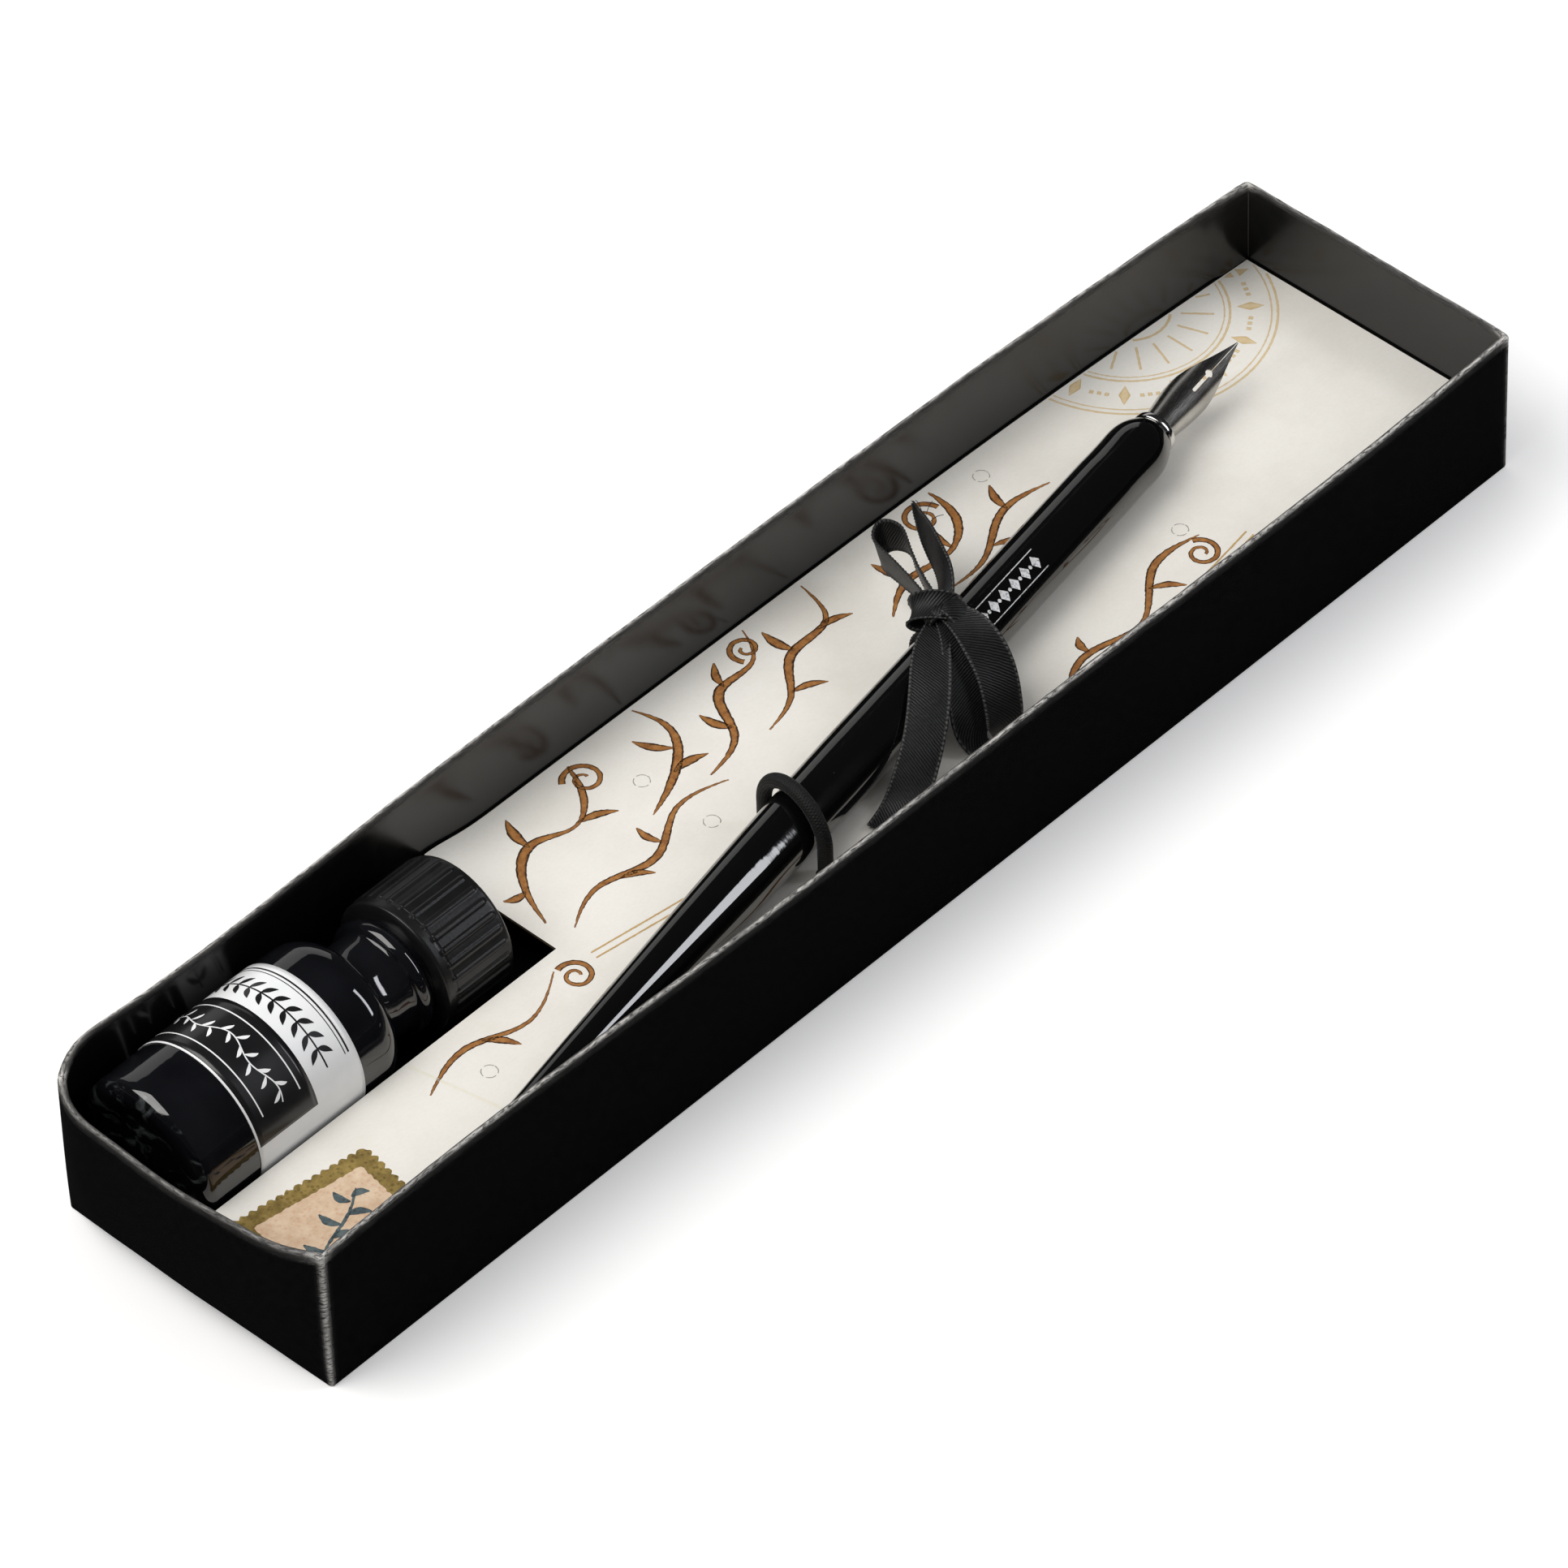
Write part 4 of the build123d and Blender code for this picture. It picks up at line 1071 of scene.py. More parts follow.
def pen_holder():
    mouth, bore, end, end_r = 1.1, 2.97, 158.35, 2.65
    swell = spline([(0, 3.25), (2.5, 4.43), (6.9, 4.79), (12.9, GRIP_R)])
    profile = [(-mouth, bore), (-mouth, 3.1), (-1.18, 3.22)]
    profile += [(-mouth - t, float(swell(t)[0])) for t in np.linspace(0.25, 12.9, 26)]
    profile += [(-t, GRIP_R) for t in np.linspace(16, 79, 22)]
    taper = spline([(80, GRIP_R), (104, 4.5), (131, 3.6), (end, end_r)])
    profile += [(-t, float(taper(t)[0])) for t in np.linspace(80, end, 50)]
    tail = np.radians(np.arange(8, 91, 8))
    profile += [(-end - end_r * math.sin(a), max(end_r * math.cos(a), 0.02)) for a in tail]
    socket = [(-16.0, 0.02), (-16.0, bore)] + [(-t, bore) for t in (12, 8, 4, mouth)]
    profile = [(a * MM, b * MM) for a, b in socket[:-1] + profile]
    return revolved("pen_barrel", profile, ring, pen_dir, up, 144)


dressed(pen_holder(), lacquer, "pen", "holder_lacquer", "pen_holder")


def barrel_strip(ink, line, widths):
    """A stroke on the barrel: line is (millimetres behind the ring, millimetres round from the top)."""
    r = (GRIP_R + 0.03) * MM
    for i, ((back, around), w) in enumerate(zip(line, widths)):
        first = len(ink.verts)
        for v in np.linspace(-0.5, 0.5, 7):
            turn = (around + v * w) * MM / r
            p = ring - pen_dir * back * MM + (up * math.cos(turn) - pen_side * math.sin(turn)) * r
            ink.verts.append(p)
            ink.uv.append((back * MM, (around + v * w) * MM))
        if i:
            for k in range(6):
                ink.faces.append((first + k + 1, first + k, first + k - 7, first + k - 6))


def barrel_ornament():
    """Silver lozenges and dots between two thin rules."""
    ink = Print()
    middle, pitch, dot = 2.6, 2.64, 0.3
    for around in (middle - 1.7, middle + 1.7):
        barrel_strip(ink, [(t, around) for t in np.linspace(34, 50, 60)], [0.16] * 60)
    lozenge = np.linspace(-1, 1, 15)
    half_turn = np.linspace(0, math.pi, 13)
    for k in range(6):
        centre = 35.4 + pitch * k
        widths = [2.3 * (1 - abs(t)) for t in lozenge]
        barrel_strip(ink, [(centre + 0.85 * t, middle) for t in lozenge], widths)
        if k < 5:
            round_dot = [(centre + pitch / 2 + dot * math.cos(a), middle) for a in half_turn]
            barrel_strip(ink, round_dot, [2 * dot * math.sin(a) for a in half_turn])
    return make("barrel_ornament", ink.verts, ink.faces, ink.uv)


dressed(barrel_ornament(), foil, "pen", "holder_lacquer")


def ferrule():
    profile = [(-16.0, 2.49), (-16.0, 2.94), (-1.1, 2.94), (-1.1, 3.2), (-1.02, 3.34), (-0.9, 3.4)]
    profile += [(-0.2, 3.4), (-0.08, 3.36), (0.0, 3.24), (0.0, 2.8), (-0.06, 2.56), (-0.2, 2.49)]
    profile = sloped(profile, 1.0)
    obj = revolved("ferrule", [(a * MM, b * MM) for a, b in profile], ring, pen_dir, up, 96)
    # a tube: its two end caps give way to the bore
    mesh = obj.data
    faces = [tuple(f.vertices) for f in mesh.polygons][:-2]
    verts = [tuple(v.co) for v in mesh.vertices]
    rows = len(verts) // 96
    for j in range(96):
        k = (j + 1) % 96
        faces.append((j, k, (rows - 1) * 96 + k, (rows - 1) * 96 + j))
    uv = [(v[0], v[1]) for v in verts]
    bpy.data.objects.remove(obj)
    return make("ferrule", verts, faces, uv)


dressed(ferrule(), chrome, "pen", "sleeve_chrome", "ferrule_sleeve")

roll = math.radians(32.0)
crown = up * math.cos(roll) - pen_side * math.sin(roll)
beside = np.cross(pen_dir, crown)


def nib_shape():
    """Two halves of bent sheet with a slit between them, wide at the keyhole."""
    tuck, out_to, base_r = -9, 20, 2.45
    # half the sheet's width, and the radius it is bent to, along the nib
    reach = spline([
        (tuck, 3.4), (0.4, 3.4), (0.9, 3.9), (1.5, 4.9), (2.4, 5.3), (5.0, 5.8), (7.6, 6.0), (8.2, 5.7),
        (9.2, 4.6), (10.2, 3.8), (12.2, 2.7), (14.0, 1.85), (16.8, 0.9), (out_to, 0.1),
    ])
    arch = spline([(tuck, base_r), (0.5, base_r), (4, 2.75), (7.5, 3.1), (13, 3.1), (out_to, 3.3)])
    stretches = ((tuck, 0.2, 8), (0.4, 7.9, 24), (8.0, 13.2, 53), (13.4, out_to, 30))
    stations = np.unique(np.concatenate([np.linspace(*stretch) for stretch in stretches]))

    def gap(u):
        if u < 8.0:
            return 0.0
        if u < 8.28:
            return math.sqrt(max(0.275**2 - (8.275 - u) ** 2, 0))
        disc = math.sqrt(max(0.65**2 - (u - 12.4) ** 2, 0))
        if u < 12.4:
            return max(0.275, disc)
        return max(0.045, disc)

    sheet = 0.3
    columns = 17
    verts, faces, uv = [], [], []
    for hand in (-1, 1):
        for layer in (0, 1):
            for u in stations:
                edge = float(reach(u)[0])
                radius = float(arch(u)[0])
                start = min(gap(u), edge * 0.6)
                for v in np.linspace(0, 1, columns):
                    s = start + (edge - start) * v
                    quarter = radius * math.pi / 2
                    out = radius - layer * sheet
                    if s < quarter:
                        a = s / radius
                        x, z = out * math.sin(a), out * math.cos(a)
                    else:
                        x, z = out, -(s - quarter)
                    z += base_r - radius
                    p = ring + (pen_dir * u + beside * hand * x + crown * z) * MM
                    verts.append(p)
                    uv.append((u * MM, hand * s * MM))
        start = 0 if hand == -1 else 2 * len(stations) * columns
        faces += sheet_faces(len(stations), columns, start, flipped=hand == 1)
    obj = make("nib_sheet", verts, faces, uv)
    split = obj.modifiers.new("edges", "EDGE_SPLIT")
    split.split_angle = math.radians(40)
    return obj


dressed(nib_shape(), steel, "nib", "nib_steel", "nib")

# ------------------------------------------------------------------ bottle
bottle_low, bottle_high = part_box("ink_bottle")
BX = bottle_low.x
bottle_axis = np.array([0.0, (bottle_low.y + bottle_high.y) / 2, (bottle_low.z + bottle_high.z) / 2])
ALONG = np.array([1.0, 0.0, 0.0])
R = 12.2


def bottle_profile():
    p = [(1.0, 0.02), (1.0, 5.5), (0.8, 7.4), (0.2, 8.3)]
    p += arc(2.2, 10.0, 2.2, 2.2, 190, 90, 12)
    p += [(t, R) for t in np.linspace(4, 33.6, 26)]
    p += arc(34.5, 8.4, 4.6, 3.8, 90, 8, 16)
    p += [(39.3, 8.1), (39.8, 7.92), (41.5, 7.9), (43.6, 7.9), (44.4, 7.98)]
    p += arc(46.1, 7.9, 1.3, 1.2, 170, 10, 12)
    p += [(47.9, 7.95), (49, 7.9), (58.4, 7.9), (58.7, 7.6), (58.7, 6.4), (58.4, 6.2)]
    inner = [(50.0, 6.2), (41, 6.2), (39.1, 6.3), (34.5, 10.9), (5.2, 10.9), (3.0, 8.7), (3.0, 0.02)]
    return p + inner


glass_line = [(BX + a * MM, b * MM) for a, b in bottle_profile()]
bottle = revolved("bottle_glass_body", glass_line, bottle_axis, ALONG, up, 144)
dressed(bottle, glass, "bottle", "bottle_glass", "ink_bottle")
bottle.data.materials.append(foot_glass)
# the foot's faces take the glass with painted glints
for f in bottle.data.polygons:
    x = f.center.x - BX
    d = math.hypot(f.center.y - bottle_axis[1], f.center.z - bottle_axis[2])
    if x < 2.4 * MM and d < 11.9 * MM:
        f.material_index = 1


def label_sheet(name, x0, x1, start, end, lift, columns=120):
    """A bent sheet on the bottle. Angles are in degrees round from the top, the front side positive."""
    rows = max(4, int((x1 - x0) / (0.8 * MM)))
    verts, uv = [], []
    r = R * MM + lift
    for layer in (0, 1):
        for x in np.linspace(x0, x1, rows):
            for a in np.radians(np.linspace(start, end, columns)):
                rr = r - layer * 0.05 * MM
                verts.append((x, bottle_axis[1] - rr * math.sin(a), bottle_axis[2] + rr * math.cos(a)))
                uv.append((x, a * rr))
    return make(name, verts, sheet_faces(rows, columns), uv)


label_low, label_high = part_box("bottle_label")
LX0, LX1 = label_low.x, label_high.x
label = label_sheet("label", LX0, LX1, -145, 145, 0.11 * MM)
dressed(label, white_paper, "bottle", "label_paper", "bottle_label")
panel = label_sheet("label_panel", LX0 + 0.35 * MM, LX0 + 11.3 * MM, -145, 78, 0.118 * MM)
dressed(panel, black_paper, "bottle", "label_paper")


class Wrapped(Print):
    """Print that lies round the bottle: its x runs along the bottle, its y round it."""

    def __init__(self, lift):
        super().__init__()
        self.lift = lift

    def strip(self, line, widths, ragged=0.05):
        line = np.asarray(line, float)
        widths = np.broadcast_to(np.asarray(widths, float), len(line))
        ahead = np.gradient(line, axis=0)
        ahead /= np.maximum(np.linalg.norm(ahead, axis=1), 1e-9)[:, None]
        r = R * MM + self.lift
        for i, (p, w, a) in enumerate(zip(line, widths, np.c_[-ahead[:, 1], ahead[:, 0]])):
            first = len(self.verts)
            for v in (0.0, 0.5, 1.0):
                q = p + a * (v - 0.5) * w
                a_turn = q[1] / r
                y, z = bottle_axis[1] - r * math.sin(a_turn), bottle_axis[2] + r * math.cos(a_turn)
                self.verts.append((q[0], y, z))
                self.uv.append((i * 0.3 * MM, v))
            if i:
                for k in range(2):
                    self.faces.append((first + k + 1, first + k, first + k - 3, first + k - 2))

    def rule(self, x, width):
        """A straight line round the bottle, x millimetres along the label."""
        self.strip(np.hstack([np.full_like(ROUND, LX0 / MM + x), ROUND]) * MM, width * MM)

    def leaf(self, place, reach, bend, belly, tip):
        """A leaf from a place to place + reach, in millimetres."""
        t = np.linspace(0, 1, 14)[:, None]
        line = np.array([place]) + t * np.array([reach]) + t * (1 - t) * np.array([[0, bend]])
        self.strip(line * MM, MM * (belly * np.sin(math.pi * t[:, 0]) + tip))

    def ornament(self, name, material):
        dressed(make(name, self.verts, self.faces, self.uv), material, "bottle", "label_paper")


# a plain ornament: rules, a straight stem with leaf pairs, and a waving one with single leaves
ROUND = np.linspace(-14, 13, 220)[:, None]
STEM_DARK, STEM_LIGHT = LX0 / MM + 14.7, LX0 / MM + 5.9
dark_print = Wrapped(0.128 * MM)
light_print = Wrapped(0.128 * MM)
for x, w in ((18.7, 0.28), (18.1, 0.14), (14.7, 0.26)):
    dark_print.rule(x, w)
for y in np.arange(-13, 12.0, 2.3):
    for hand in (-1, 1):
        dark_print.leaf((STEM_DARK, y), (1.9 * hand, 1.5), -0.9, 0.8, 0.08)
for x, w in ((9.4, 0.22), (2.4, 0.22)):
    light_print.rule(x, w)
light_print.strip(np.hstack([STEM_LIGHT + 0.7 * np.sin(ROUND * 0.62 + 1.0), ROUND]) * MM, 0.2 * MM)
for k, y in enumerate(np.arange(-13, 12.5, 1.35)):
    hand = 1 if k % 2 else -1
    light_print.leaf((STEM_LIGHT + 0.7 * math.sin(y * 0.62 + 1.0), y), (1.7 * hand, 1.1), 1.0, 0.5, 0.07)
dark_print.ornament("label_ornament_dark", black_paper)
light_print.ornament("label_ornament_light", white_paper)

# ------------------------------------------------------------------ screw cap
cap_low, cap_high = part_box("screw_cap")
CX, CTOP = cap_low.x, cap_high.x
RIBS = 30
CAP_R = 10.5


def ribbed(t, r, angles):
    """The cap's radius round one ring: raised ribs with rounded ends between the collar and the top edge."""
    start, end = CX + 2.0 * MM, CTOP - 1.5 * MM
    if r < 10.35 * MM:
        return np.full(len(angles), r)
    phase = ((angles * RIBS / (2 * math.pi) + 0.5) % 1 - 0.5) * 2 * math.pi * CAP_R * MM / RIBS
    inset = np.maximum(np.maximum(start - t, t - end), 0)
    reach = np.hypot(phase, inset)
    profile = 1 / (1 + np.exp((reach - 0.40 * MM) / (0.055 * MM)))
    return r + 0.2 * MM * profile


cap_steps = [(0.0, 9.15), (0.0, 10.2), (0.08, 10.42), (0.25, CAP_R)]
cap_steps += [(t, CAP_R) for t in np.linspace(0.6, 1.7, 5)]
cap_steps += [(1.78, 10.47), (1.86, 10.43), (1.95, 10.47)]
cap_steps += [(t, CAP_R) for t in np.arange(2.05, 11.9, 0.16)]
cap_steps += arc(12.1, 9.7, 0.8, 0.8, 86, 6, 8) + [(12.9, 9.3), (12.9, 8.6), (12.8, 8.3), (12.8, 0.02)]
cap_inner = [(11.3, 0.02), (11.3, 9.1), (1.0, 9.15)]
cap_profile = [(CX + a * MM, b * MM) for a, b in cap_steps + cap_inner]
cap_body = revolved("cap_shell", cap_profile, bottle_axis, ALONG, up, RIBS * 18, ribbed)
dressed(cap_body, cap_black, "cap", "cap_plastic", "screw_cap")

# ------------------------------------------------------------------ elastic cord
def tube(name, centre_line, radius_of, columns):
    """A tube along a line. radius_of gives the radii round one ring, from its place and the angles."""
    p = np.asarray(centre_line, float)
    tangents = np.gradient(p, axis=0)
    tangents /= np.linalg.norm(tangents, axis=1)[:, None]
    normal = unit(np.cross(tangents[0], [0.3, 0.2, 0.9]))
    angles = np.linspace(0, 2 * math.pi, columns, endpoint=False)
    verts, uv = [], []
    run = 0.0
    for i, (c, t) in enumerate(zip(p, tangents)):
        if i:
            run += np.linalg.norm(c - p[i - 1])
        normal = unit(normal - t * (normal @ t))
        other = np.cross(t, normal)
        r = radius_of(run, angles)
        verts.extend(c + np.outer(r * np.cos(angles), normal) + np.outer(r * np.sin(angles), other))
        uv.extend((run, a * 1.1 * MM) for a in angles)
    faces = grid(len(p), columns, close_cols=True)
    faces.append(tuple(range(columns))[::-1])
    faces.append(tuple(range(len(verts) - columns, len(verts))))
    return make(name, verts, faces, uv)


def even_radius(r):
    return lambda run, angles: np.full(len(angles), r)


def elastic():
    low = (CARD_UNDER - PEN_Z - 3.2) * MM
    turn = 2.9 * MM
    flat = [(-1.0 * MM, low), (-ELASTIC_R + turn, low)]
    flat += arc(-ELASTIC_R + turn, low + turn, turn, turn, 262, 180, 8)
    flat += [(-ELASTIC_R, low + turn + 1 * MM)]
    flat += arc(0, 0, ELASTIC_R, ELASTIC_R, 180, 0, 40)
    flat += [(ELASTIC_R, low + turn + 1 * MM)]
    flat += arc(ELASTIC_R - turn, low + turn, turn, turn, 0, -82, 8)
    flat += [(1.0 * MM, low)]
    line = [elastic_centre + elastic_across * a + up * b for a, b in sloped(flat, 0.1 * MM)]
    line = np.array(line)
    walk = np.r_[0, np.cumsum(np.linalg.norm(np.diff(line, axis=0), axis=1))]
    even = np.linspace(0, walk[-1], int(walk[-1] / (0.085 * MM)))
    line = np.c_[[np.interp(even, walk, line[:, k]) for k in range(3)]].T

    def strands(run, angles):
        pitch = 2 * math.pi * run / (3.4 * MM)
        one = np.abs(np.sin(4 * angles + 4 * pitch))
        two = np.abs(np.sin(4 * angles - 4 * pitch))
        return 0.95 * MM + 0.17 * MM * np.maximum(one, two) ** 1.6

    cord = tube("elastic_loop", line, strands, 56)
    lump = []
    for k in range(3):
        turn_by = k * 1.1
        ringline = []
        for a in np.linspace(0, 2 * math.pi, 60):
            x, y, z = math.cos(a) * 1.15, math.sin(a) * 0.9, 0.35 * math.sin(2 * a + turn_by)
            c, d = math.cos(turn_by), math.sin(turn_by)
            x, z = x * c - z * d, x * d + z * c
            ringline.append(elastic_centre + up * low + (elastic_across * x + elastic_run * y + up * z) * MM)
        lump.append(tube("knot", ringline, even_radius(0.95 * MM), 20))
    return joined("elastic_loop", [cord] + lump)


dressed(elastic(), braid, "insert", "elastic", "elastic_cord")

# ------------------------------------------------------------------ ribbon

def ribbon_strip(name, centres, acrosses, widths, count=260, cup=0.25, thick=0.16, phase=0.0):
    """A ribbon through centres, its width along acrosses, with beaded selvedges. Places in metres."""
    line, side, width = through(centres, count, acrosses, widths)
    ahead = np.gradient(line, axis=0)
    ahead /= np.linalg.norm(ahead, axis=1)[:, None]
    side = side - ahead * np.sum(side * ahead, axis=1)[:, None]
    side /= np.linalg.norm(side, axis=1)[:, None]
    face = np.cross(ahead, side)
    walk = np.r_[0, np.cumsum(np.linalg.norm(np.diff(line, axis=0), axis=1))]
    vs = np.unique(np.r_[np.linspace(-1, 1, 15), -0.97, -0.94, -0.9, -0.82, 0.97, 0.94, 0.9, 0.82])
    verts, uv, selvedge = [], [], []
    for layer in (1, -1):
        for i in range(count):
            half = width[i] / 2
            for v in vs:
                bead = near(abs(v) - 0.93, 0.05)
                pitch = 0.5 + 0.5 * math.cos(2 * math.pi * walk[i] / (0.70 * MM) + (1 if v > 0 else 0))
                t = MM * (thick / 2 + 0.17 * bead * (0.35 + 0.65 * pitch))
                sag = MM * cup * (v * v - 0.4) * math.sin(walk[i] / (7 * MM) + phase)
                ripple = 0.05 * MM * wobble((walk[i], v * 3 * MM, phase * MM), 2.6 * MM, 6.0)
                verts.append(line[i] + side[i] * v * half + face[i] * (sag + ripple + layer * t))
                uv.append((walk[i], v * half))
                selvedge.append(bead * pitch)
    return make(name, verts, sheet_faces(count, len(vs)), uv, {"selvedge": selvedge})


def bow_piece(name, stations, count=260, cup=0.25, phase=0.0):
    """stations are (place, across, width) in pen terms from the knot, in millimetres."""
    centres = [pen_point(*s[0]) for s in stations]
    acrosses = [unit(pen_dir * s[1][0] + pen_side * s[1][1] + up * s[1][2]) for s in stations]
    widths = [s[2] * MM for s in stations]
    return ribbon_strip(name, centres, acrosses, widths, count, cup, phase=phase)


def ribbon():
    pieces = []
    pieces.append(bow_piece("big_loop", [
        ((0.2, -0.6, 0.5), (1.0, 0.0, 0.0), 3.0),
        ((-0.4, -3.4, 1.2), (1.0, 0.1, 0.1), 4.6),
        ((-1.8, -7.4, 0.6), (1.0, -0.2, 0.3), 5.8),
        ((-3.4, -11.2, -2.6), (1.0, -0.3, 0.35), 6.0),
        ((-5.0, -13.4, -6.6), (1.0, -0.35, 0.2), 6.0),
        ((-6.6, -14.2, -9.6), (1.0, -0.35, 0.0), 6.0),
        ((-8.6, -13.4, -10.9), (1.0, -0.3, -0.05), 6.0),
        ((-9.4, -11.6, -9.4), (1.0, -0.3, 0.0), 6.0),
        ((-8.2, -9.6, -6.0), (1.0, -0.3, 0.1), 6.0),
        ((-5.2, -6.6, -2.0), (1.0, -0.3, 0.1), 5.4),
        ((-2.2, -3.4, 0.0), (1.0, -0.2, 0.0), 4.2),
        ((-0.4, -0.8, 0.0), (1.0, 0.0, 0.0), 3.0),
    ], 460, 0.2))
    pieces.append(bow_piece("short_tail", [
        ((1.1, 0.4, -0.1), (0.5, -0.6, 0.4), 2.6),
        ((5.0, 2.6, 0.3), (0.4, -0.3, 0.8), 4.2),
        ((9.4, 6.6, -0.4), (0.27, 0.0, 0.95), 5.4),
        ((13.2, 10.8, -1.2), (0.27, 0.0, 0.95), 4.8),
        ((16.8, 14.6, -2.4), (0.27, 0.0, 0.95), 2.8),
        ((20.4, 17.9, -4.0), (0.27, 0.0, 0.95), 0.4),
    ], 300, 0.35, 1.0))
    pieces.append(bow_piece("long_tail", [
        ((-0.8, -0.4, -0.2), (0.4, -0.9, 0.0), 2.8),
        ((-5.4, -2.2, -0.4), (0.5, -0.85, -0.1), 5.0),
        ((-11.4, -5.6, -1.3), (0.55, -0.83, -0.1), 6.0),
        ((-17.4, -8.6, -4.4), (0.55, -0.83, -0.2), 6.0),
        ((-22.4, -10.0, -8.0), (0.5, -0.85, -0.2), 6.0),
        ((-26.6, -10.6, -10.5), (0.4, -0.9, -0.05), 6.0),
        ((-31.0, -10.8, -11.2), (0.3, -0.95, 0.0), 6.0),
    ], 360, 0.3, 2.0))
    out = unit(pen_dir * 0.56 + pen_side * 0.82 - up * 0.14)
    wide = unit(pen_dir * 0.05 + pen_side * 0.4 + up * 0.9)
    wide = unit(wide - out * (wide @ out))
    thick_way = np.cross(wide, out)
    # how far out, how far aside, and the ribbon's width there
    outline = [
        (1.5, 0.5, 2.8), (8.0, 1.1, 4.2), (15.0, 2.1, 5.4), (19.2, 1.8, 5.8), (20.6, 0.0, 6.0),
        (19.0, -1.7, 5.8), (15.0, -1.7, 5.4), (8.0, -0.7, 4.2), (1.5, -0.5, 2.8),
    ]
    centres = [knot + (out * a + thick_way * b) * MM for a, b, _ in outline]
    widths = [w * MM for _, _, w in outline]
    pieces.append(ribbon_strip("small_loop", centres, [wide] * len(outline), widths, 380, 0.1))
    # round the barrel, and down through the card's slots
    low = CARD_UNDER - PEN_Z - 0.8
    down = [(5.4, -1.5), (5.4, low + 2.2), (5.2, low + 0.7), (4.2, low), (0.0, low)]
    around = [(-a, b) for a, b in down[::-1]] + arc(0, 0, 5.42, 5.42, 180, 0, 15) + down
    centres = [ribbon_centre + (pen_side * a + up * b) * MM for a, b in around]
    n = len(around)
    pieces.append(ribbon_strip("wrap", centres, [pen_dir] * n, [4.5 * MM] * n, 260, 0.0, 0.14))
    # the knot: three short bands drawn tight over the crossing
    long_way = unit(pen_dir * 0.57 - pen_side * 0.82)
    for tilt, radius, width, seed, shift in (
        (0.5, 2.55, 4.2, 0.0, -0.8), (-0.35, 2.4, 3.8, 2.0, 1.6), (1.0, 2.2, 3.2, 4.0, 0.6),
    ):
        centres, acrosses = [], []
        axis = unit(pen_dir * math.cos(tilt) + pen_side * math.sin(tilt) + up * 0.15)
        one = unit(np.cross(axis, up))
        two = np.cross(axis, one)
        for a in np.linspace(0, 2 * math.pi, 17):
            q = one * math.cos(a) * radius + two * math.sin(a) * radius * 0.8
            q = q + long_way * (0.35 * (q @ long_way) + shift)
            centres.append(knot + q * MM)
            acrosses.append(axis + two * 0.35 * math.sin(a + seed))
        pieces.append(ribbon_strip("knot_band", centres, acrosses, [width * MM] * 17, 120, 0.7, 0.3, seed))
    # loose threads at the short tail's frayed edge
    for k, (dx, dy) in enumerate(((1.6, -1.0), (2.4, 0.6), (1.2, 1.6))):
        base = pen_point(16.0 + 0.8 * k, 12.6 + 1.0 * k, -2.2)
        tip = base + (pen_dir * dx + pen_side * dy + up * (0.7 - 0.3 * k)) * MM * 1.3
        middle = (base + tip) / 2 + up * 0.5 * MM
        thread = tube("thread", through([base, middle, tip], 14), even_radius(0.05 * MM), 6)
        thread.data.attributes.new("selvedge", "FLOAT", "POINT")
        pieces.append(thread)
    return joined("ribbon_bow_cloth", pieces)


dressed(ribbon(), satin, "insert", "ribbon", "ribbon_bow")

# ------------------------------------------------------------------ pieces that keep their CAD shape
for name, material in (
    ("nib_clip", plain_material("spring_steel", (0.55, 0.54, 0.52), 0.3, 1.0)),
    ("ink", plain_material("ink_liquid", (0.004, 0.004, 0.006), 0.08)),
    ("cap_liner", plain_material("liner_foam", (0.8, 0.8, 0.77), 0.7)),
):
    node = frame["nodes"][name]
    node.data.materials.clear()
    node.data.materials.append(material)

# ------------------------------------------------------------------ floor, light and camera
bpy.ops.mesh.primitive_plane_add(size=6.0, location=(0, 0, 0))
floor = bpy.context.object
floor.name = "floor"
floor.data.materials.append(floor_material())


def softbox(name, centre, aim, width, height, power, colour):
    data = bpy.data.lights.new(name, "AREA")
    data.shape = "RECTANGLE"
    data.size, data.size_y = width, height
    data.energy = power
    data.color = colour
    lamp = bpy.data.objects.new(name, data)
    scene.collection.objects.link(lamp)
    lamp.location = centre
    lamp.rotation_euler = (Vector(aim) - Vector(centre)).to_track_quat("-Z", "Y").to_euler()


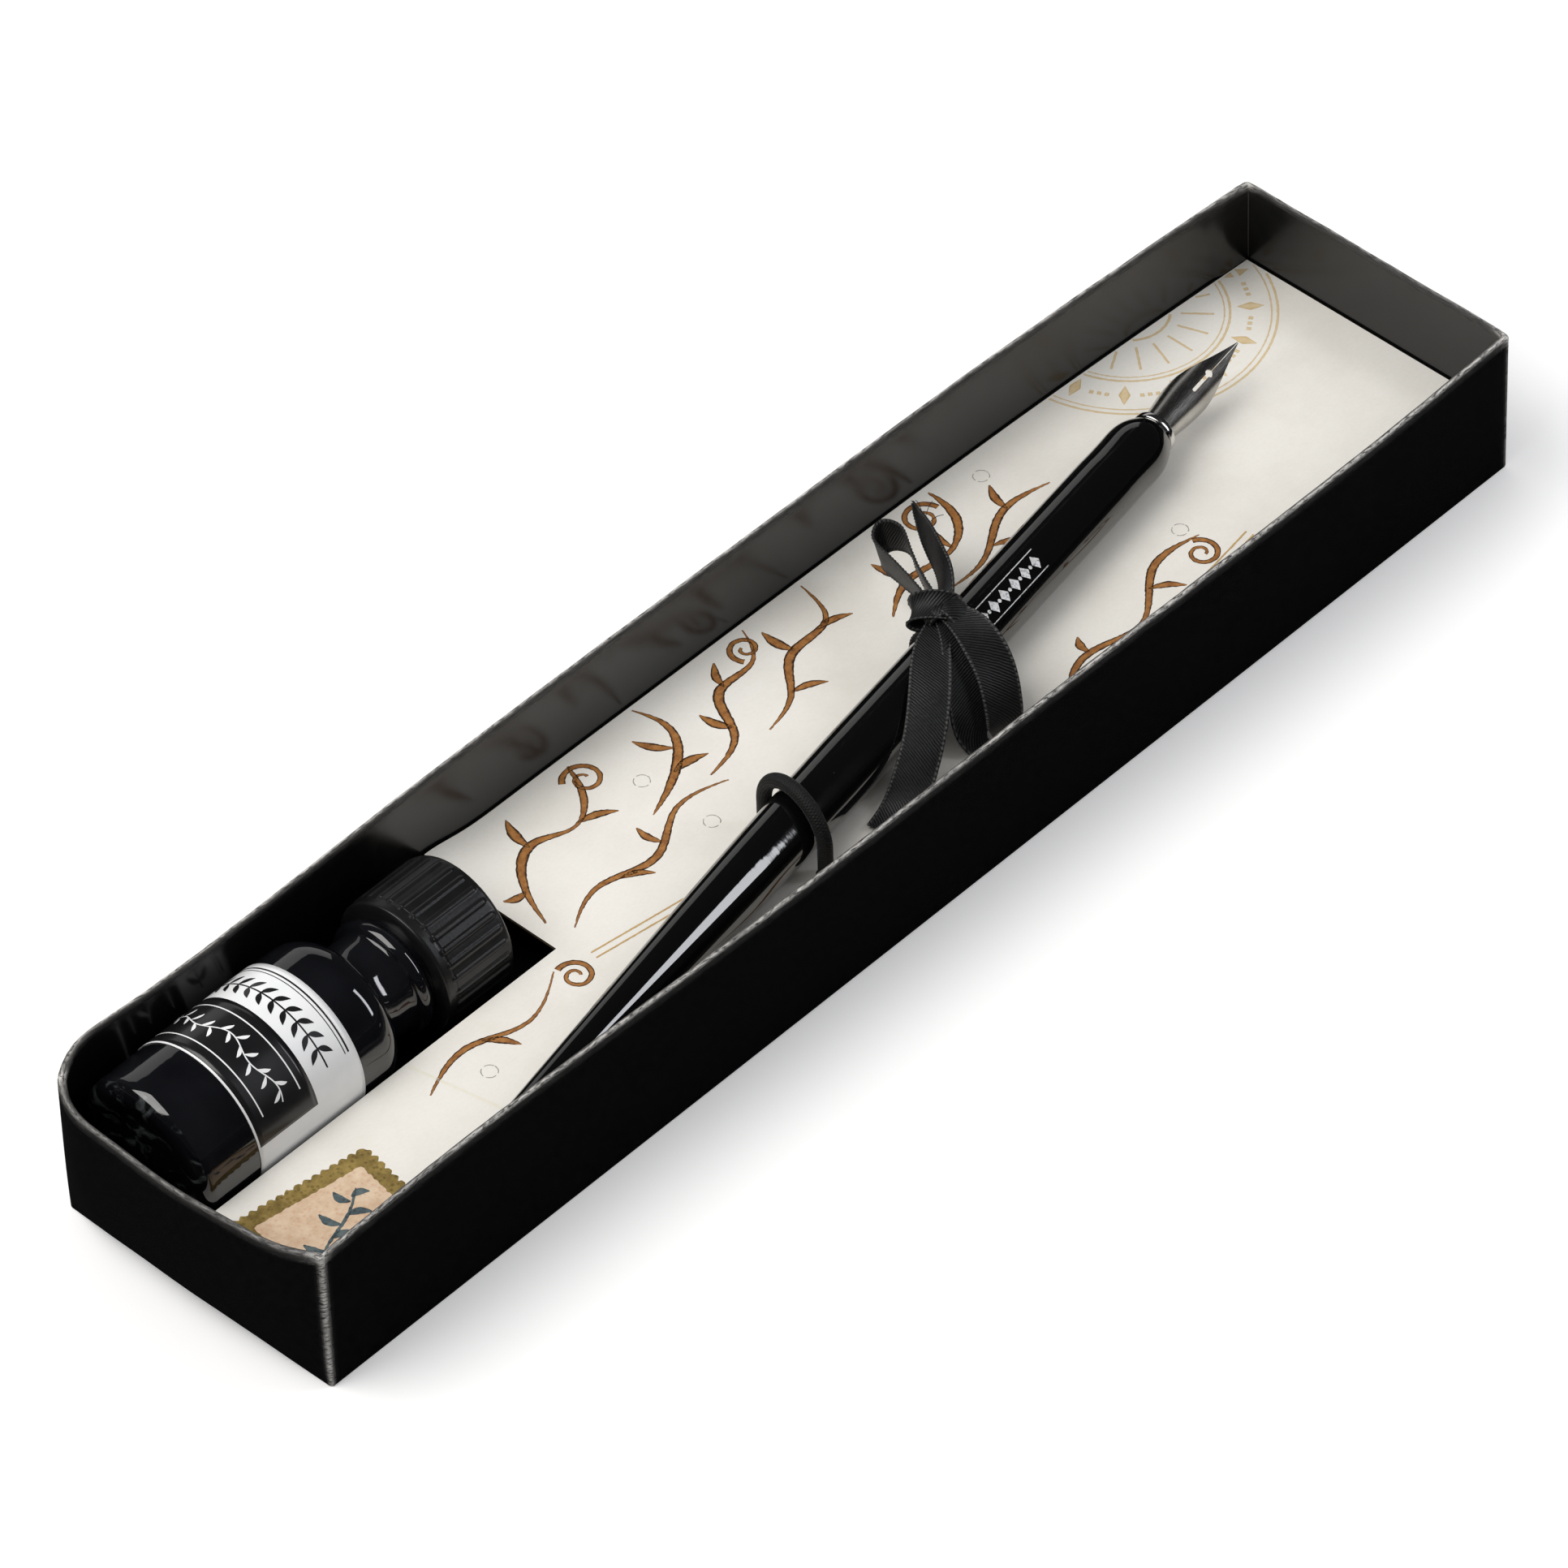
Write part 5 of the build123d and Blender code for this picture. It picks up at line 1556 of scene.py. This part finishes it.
# a narrow light for the line along the barrel, a dim wide one for the rear flanks, and the main one
softbox("strip_right", (0.355, -0.37, 0.377), (0.286, 0.04, 0.016), 0.10, 0.42, 1.0, (0.93, 0.95, 1.0))
softbox("rear_glow", (0.45, 0.72, 0.30), (0, 0, 0.01), 0.8, 0.4, 0.5, (1.0, 0.99, 0.97))
softbox("top_left", (-0.55, 0.35, 0.95), (0, 0, 0), 0.9, 0.9, 10.4, (1.0, 0.985, 0.96))

world = bpy.data.worlds.new("studio")
scene.world = world
world.use_nodes = True
tree = world.node_tree
seen_by = tree.nodes.new("ShaderNodeLightPath")
# grey as light, nearly black to gloss, white to the camera
colour = (0.5, 0.5, 0.5, 1)
for ray, tone in (("Is Glossy Ray", (0.022, 0.022, 0.023, 1)), ("Is Camera Ray", (1, 1, 1, 1))):
    mix = tree.nodes.new("ShaderNodeMix")
    mix.data_type = "RGBA"
    tree.links.new(seen_by.outputs[ray], mix.inputs[0])
    if isinstance(colour, tuple):
        mix.inputs[6].default_value = colour
    else:
        tree.links.new(colour, mix.inputs[6])
    mix.inputs[7].default_value = tone
    colour = mix.outputs[2]
tree.links.new(colour, tree.nodes["Background"].inputs["Color"])
tree.nodes["Background"].inputs["Strength"].default_value = 1.0

# the camera's distance, direction and lens
DISTANCE = 1672.84 * MM
azimuth, elevation, lean = math.radians(-45.494), math.radians(44.695), -0.03507
target = Vector((3.606, 8.172, 0.0)) * MM
level = math.cos(elevation)
back = Vector((math.sin(azimuth) * level, -math.cos(azimuth) * level, math.sin(elevation)))
right = Vector((math.cos(azimuth), math.sin(azimuth), 0))
over = back.cross(right)
camera_right = right * math.cos(lean) + over * math.sin(lean)
camera_up = over * math.cos(lean) - right * math.sin(lean)
camera_data = bpy.data.cameras.new("camera")
camera_data.lens = 274.67
camera_data.sensor_width = 36.0
camera_data.clip_start = 0.01
camera = bpy.data.objects.new("camera", camera_data)
scene.collection.objects.link(camera)
turned = Matrix((camera_right, camera_up, back)).transposed()
camera.matrix_world = Matrix.Translation(target + back * DISTANCE) @ turned.to_4x4()
scene.camera = camera
